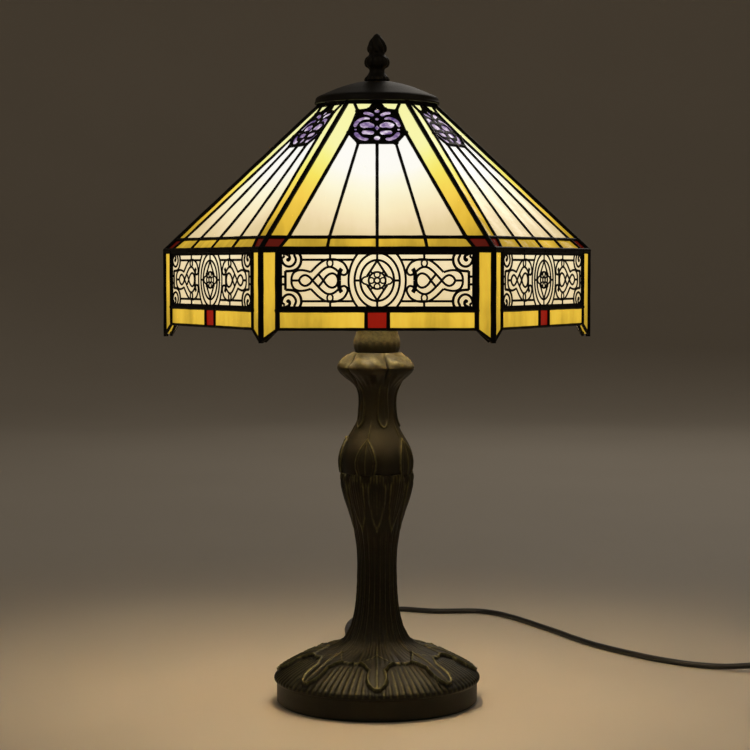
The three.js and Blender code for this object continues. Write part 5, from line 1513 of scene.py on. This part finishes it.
def pierced_plate(outlines):
    """Flat filled curve with holes, given a thickness and a fine bevel, as points and faces."""
    curve = bpy.data.curves.new("plate", "CURVE")
    curve.dimensions = "2D"
    curve.fill_mode = "BOTH"
    curve.extrude = PLATE_HALF_THICK - 0.12
    curve.bevel_depth = 0.12
    curve.bevel_resolution = 1
    for points in outlines:
        spline = curve.splines.new("POLY")
        spline.points.add(len(points) - 1)
        spline.points.foreach_set("co", np.concatenate([points, np.tile([0.0, 1.0], (len(points), 1))],
                                                       axis=1).ravel())
        spline.use_cyclic_u = True
    holder = place("plate", curve)
    bpy.context.view_layer.update()
    made = bpy.data.meshes.new_from_object(holder.evaluated_get(bpy.context.evaluated_depsgraph_get()))
    bpy.data.objects.remove(holder)
    return made


plate_mesh = pierced_plate([outline] + openings)
flat_points = np.zeros(len(plate_mesh.vertices) * 3)
plate_mesh.vertices.foreach_get("co", flat_points)
flat_points = flat_points.reshape(-1, 3) + [0, 0, PLATE_DEPTH]
for index in range(FACES):
    mesh = plate_mesh.copy()
    mesh.vertices.foreach_set("co", (on_face(flat_points, index, ROOF_SLOPE) * MM).ravel())
    mesh.set_sharp_from_angle(angle=np.radians(40))
    mesh.materials.clear()
    mesh.materials.append(filigree_black)
    tidy = bmesh.new()
    tidy.from_mesh(mesh)
    bmesh.ops.remove_doubles(tidy, verts=tidy.verts, dist=1e-6)
    bmesh.ops.recalc_face_normals(tidy, faces=tidy.faces)
    tidy.to_mesh(mesh)
    tidy.free()
    openwork = place(f"medallion_openwork_{index + 1}", mesh)
    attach(openwork, "shade")

# ---- Cap -----------------------------------------------------------------------------------------
# Spun sheet-metal vase cap that sits on the shade's top edge, painted near-black, with six vent
# holes round its crown and a rolled edge.
crown_low, crown_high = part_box("vase_cap")
VENTS = 6
VENT_RADIUS = 2.6
VENT_RING = 15.0
cap_black = bronze_paint("cap_black", ((30, 26, 17), (46, 39, 26)), (92, 80, 46), 0.42, rub_and_light=0.6)
cap_base_z = crown_low.z / MM
rim_roll = np.linspace(0.3 * np.pi, -0.5 * np.pi, 7)
cap_outer = smooth([[3.6, 16.6], [7.5, 16.5], [11.4, 16.1], [20, 14.1], [28.5, 11.3], [35, 8.6], [39.4, 6.7],
                    [42, 5.5], [43.4, 4.3], [43.7, 3.0]], 0.9)
cap_rim = np.stack([43.4 + 0.95 * np.cos(rim_roll), 1.0 + 0.95 * np.sin(rim_roll)], axis=-1)
cap_inner = smooth([[42.75, 0.5], [42.7, 2.4], [42.3, 3.9], [41, 4.9], [38.8, 5.7], [35, 7.3], [28.2, 10.0],
                    [19.8, 12.9], [11.3, 14.9], [7.5, 15.3], [3.6, 15.4]], 1.2)
cap_rows = np.concatenate([cap_outer, cap_rim, cap_inner]) + [0, cap_base_z]
cap_points, cap_quads = turned(closed(cap_rows), 144)
cap_points = cap_points * MM
cap = make("cap_dome", cap_points, outward(cap_points, cap_quads), cap_black, "cap", sharp=50)
vent_shells = []
for index in range(VENTS):
    angle = index * 2 * np.pi / VENTS
    centre = np.array([VENT_RING * np.sin(angle), -VENT_RING * np.cos(angle), 0])
    punch, punch_quads = turned(np.array([[0, 8], [VENT_RADIUS, 8], [VENT_RADIUS, 20], [0, 20]]), 28)
    vent_shells.append((punch + centre + [0, 0, cap_base_z], punch_quads))
punch_points, punch_quads = gather(vent_shells)
punches = make("punches", punch_points * MM, outward(punch_points, punch_quads), cap_black)
cut_out(cap, punches)
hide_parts("vase_cap")

# ---- Finial --------------------------------------------------------------------------------------
# Cast knob that screws on the stud and holds the cap down: a flared foot, a ball of petals and a
# pointed acorn, painted like the cap.
knob_low, knob_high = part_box("finial")
PETALS = 8


def finial_relief(radius, height, angle):
    """Petals round the ball, scales on the acorn and beads on the foot."""
    up = height - knob_low.z / MM
    ball = 0.75 * np.abs(np.cos(PETALS / 2 * angle)) ** 0.7 * step_up(up - 8, 2.5) * step_up(18 - up, 2.5)
    acorn = 0.55 * np.cos(PETALS * angle + np.pi * (up - 20) / 6) * step_up(up - 19.5,
                                                                            1.5) * step_up(31 - up, 4)
    foot = 0.35 * np.cos(16 * angle) * step_up(3.2 - up, 1)
    return ball + acorn + foot


finial_rows = smooth([[8.4, 0], [8.7, 0.5], [8.6, 1.2], [7.6, 3], [6.2, 5], [5.4, 7.2], [6, 9], [7.8, 10.9],
                      [8.3, 13.2],
                      [7.7, 15.4], [6.3, 17.6], [5.6, 18.9], [6, 20.4], [6.5, 22], [6.5, 24], [5.7,
                                                                                               26.4], [4.3,
                                                                                                       29],
                      [2.8, 31.2], [1.6, 32.6], [0.4, 33.3], [0, 33.4]], 0.4)
finial_rows = finial_rows + [0, knob_low.z / MM]
finial_bore = [[0, knob_low.z / MM + 4], [3.4, knob_low.z / MM + 4], [3.4, knob_low.z / MM]]
finial = cast_piece("finial_knob", finial_rows, finial_bore, finial_relief, 160, cap_black, "finial")
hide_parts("finial")

# ---- Plain fittings ------------------------------------------------------------------------------
# Turned, stamped and moulded pieces whose shape is already right: felt pad, iron weight, lamp pipe,
# nuts and washer, saddle, screw shell, shade wheel, rocker and plug blades. Each gets its finish.
felt = mottled("green_felt", (22, 34, 24), (34, 48, 34), 0.93, scale=700, depth=0.0004, spread_by=0.04)
iron = mottled("cast_iron", (38, 36, 34), (62, 56, 50), 0.75, metallic=0.7, scale=120, depth=0.0003)
steel = brushed("zinc_steel", (132, 134, 136), (170, 172, 174), 0.36)
FITTINGS = {
    "base_pad": felt, "weight_ring": iron, "threaded_pipe": steel, "bottom_washer": steel,
    "bottom_lock_nut": aged_brass, "top_lock_nut": aged_brass, "harp_saddle": aged_brass,
    "holder_screw_shell": aged_brass, "shade_wheel": aged_brass, "inner_cord": sheath,
    "switch_rocker": black_plastic, "plug_blade_left": nickel, "plug_blade_right": nickel,
}
for node, finish in FITTINGS.items():
    fitting = bpy.data.objects[node]
    fitting.data.materials.clear()
    fitting.data.materials.append(finish)
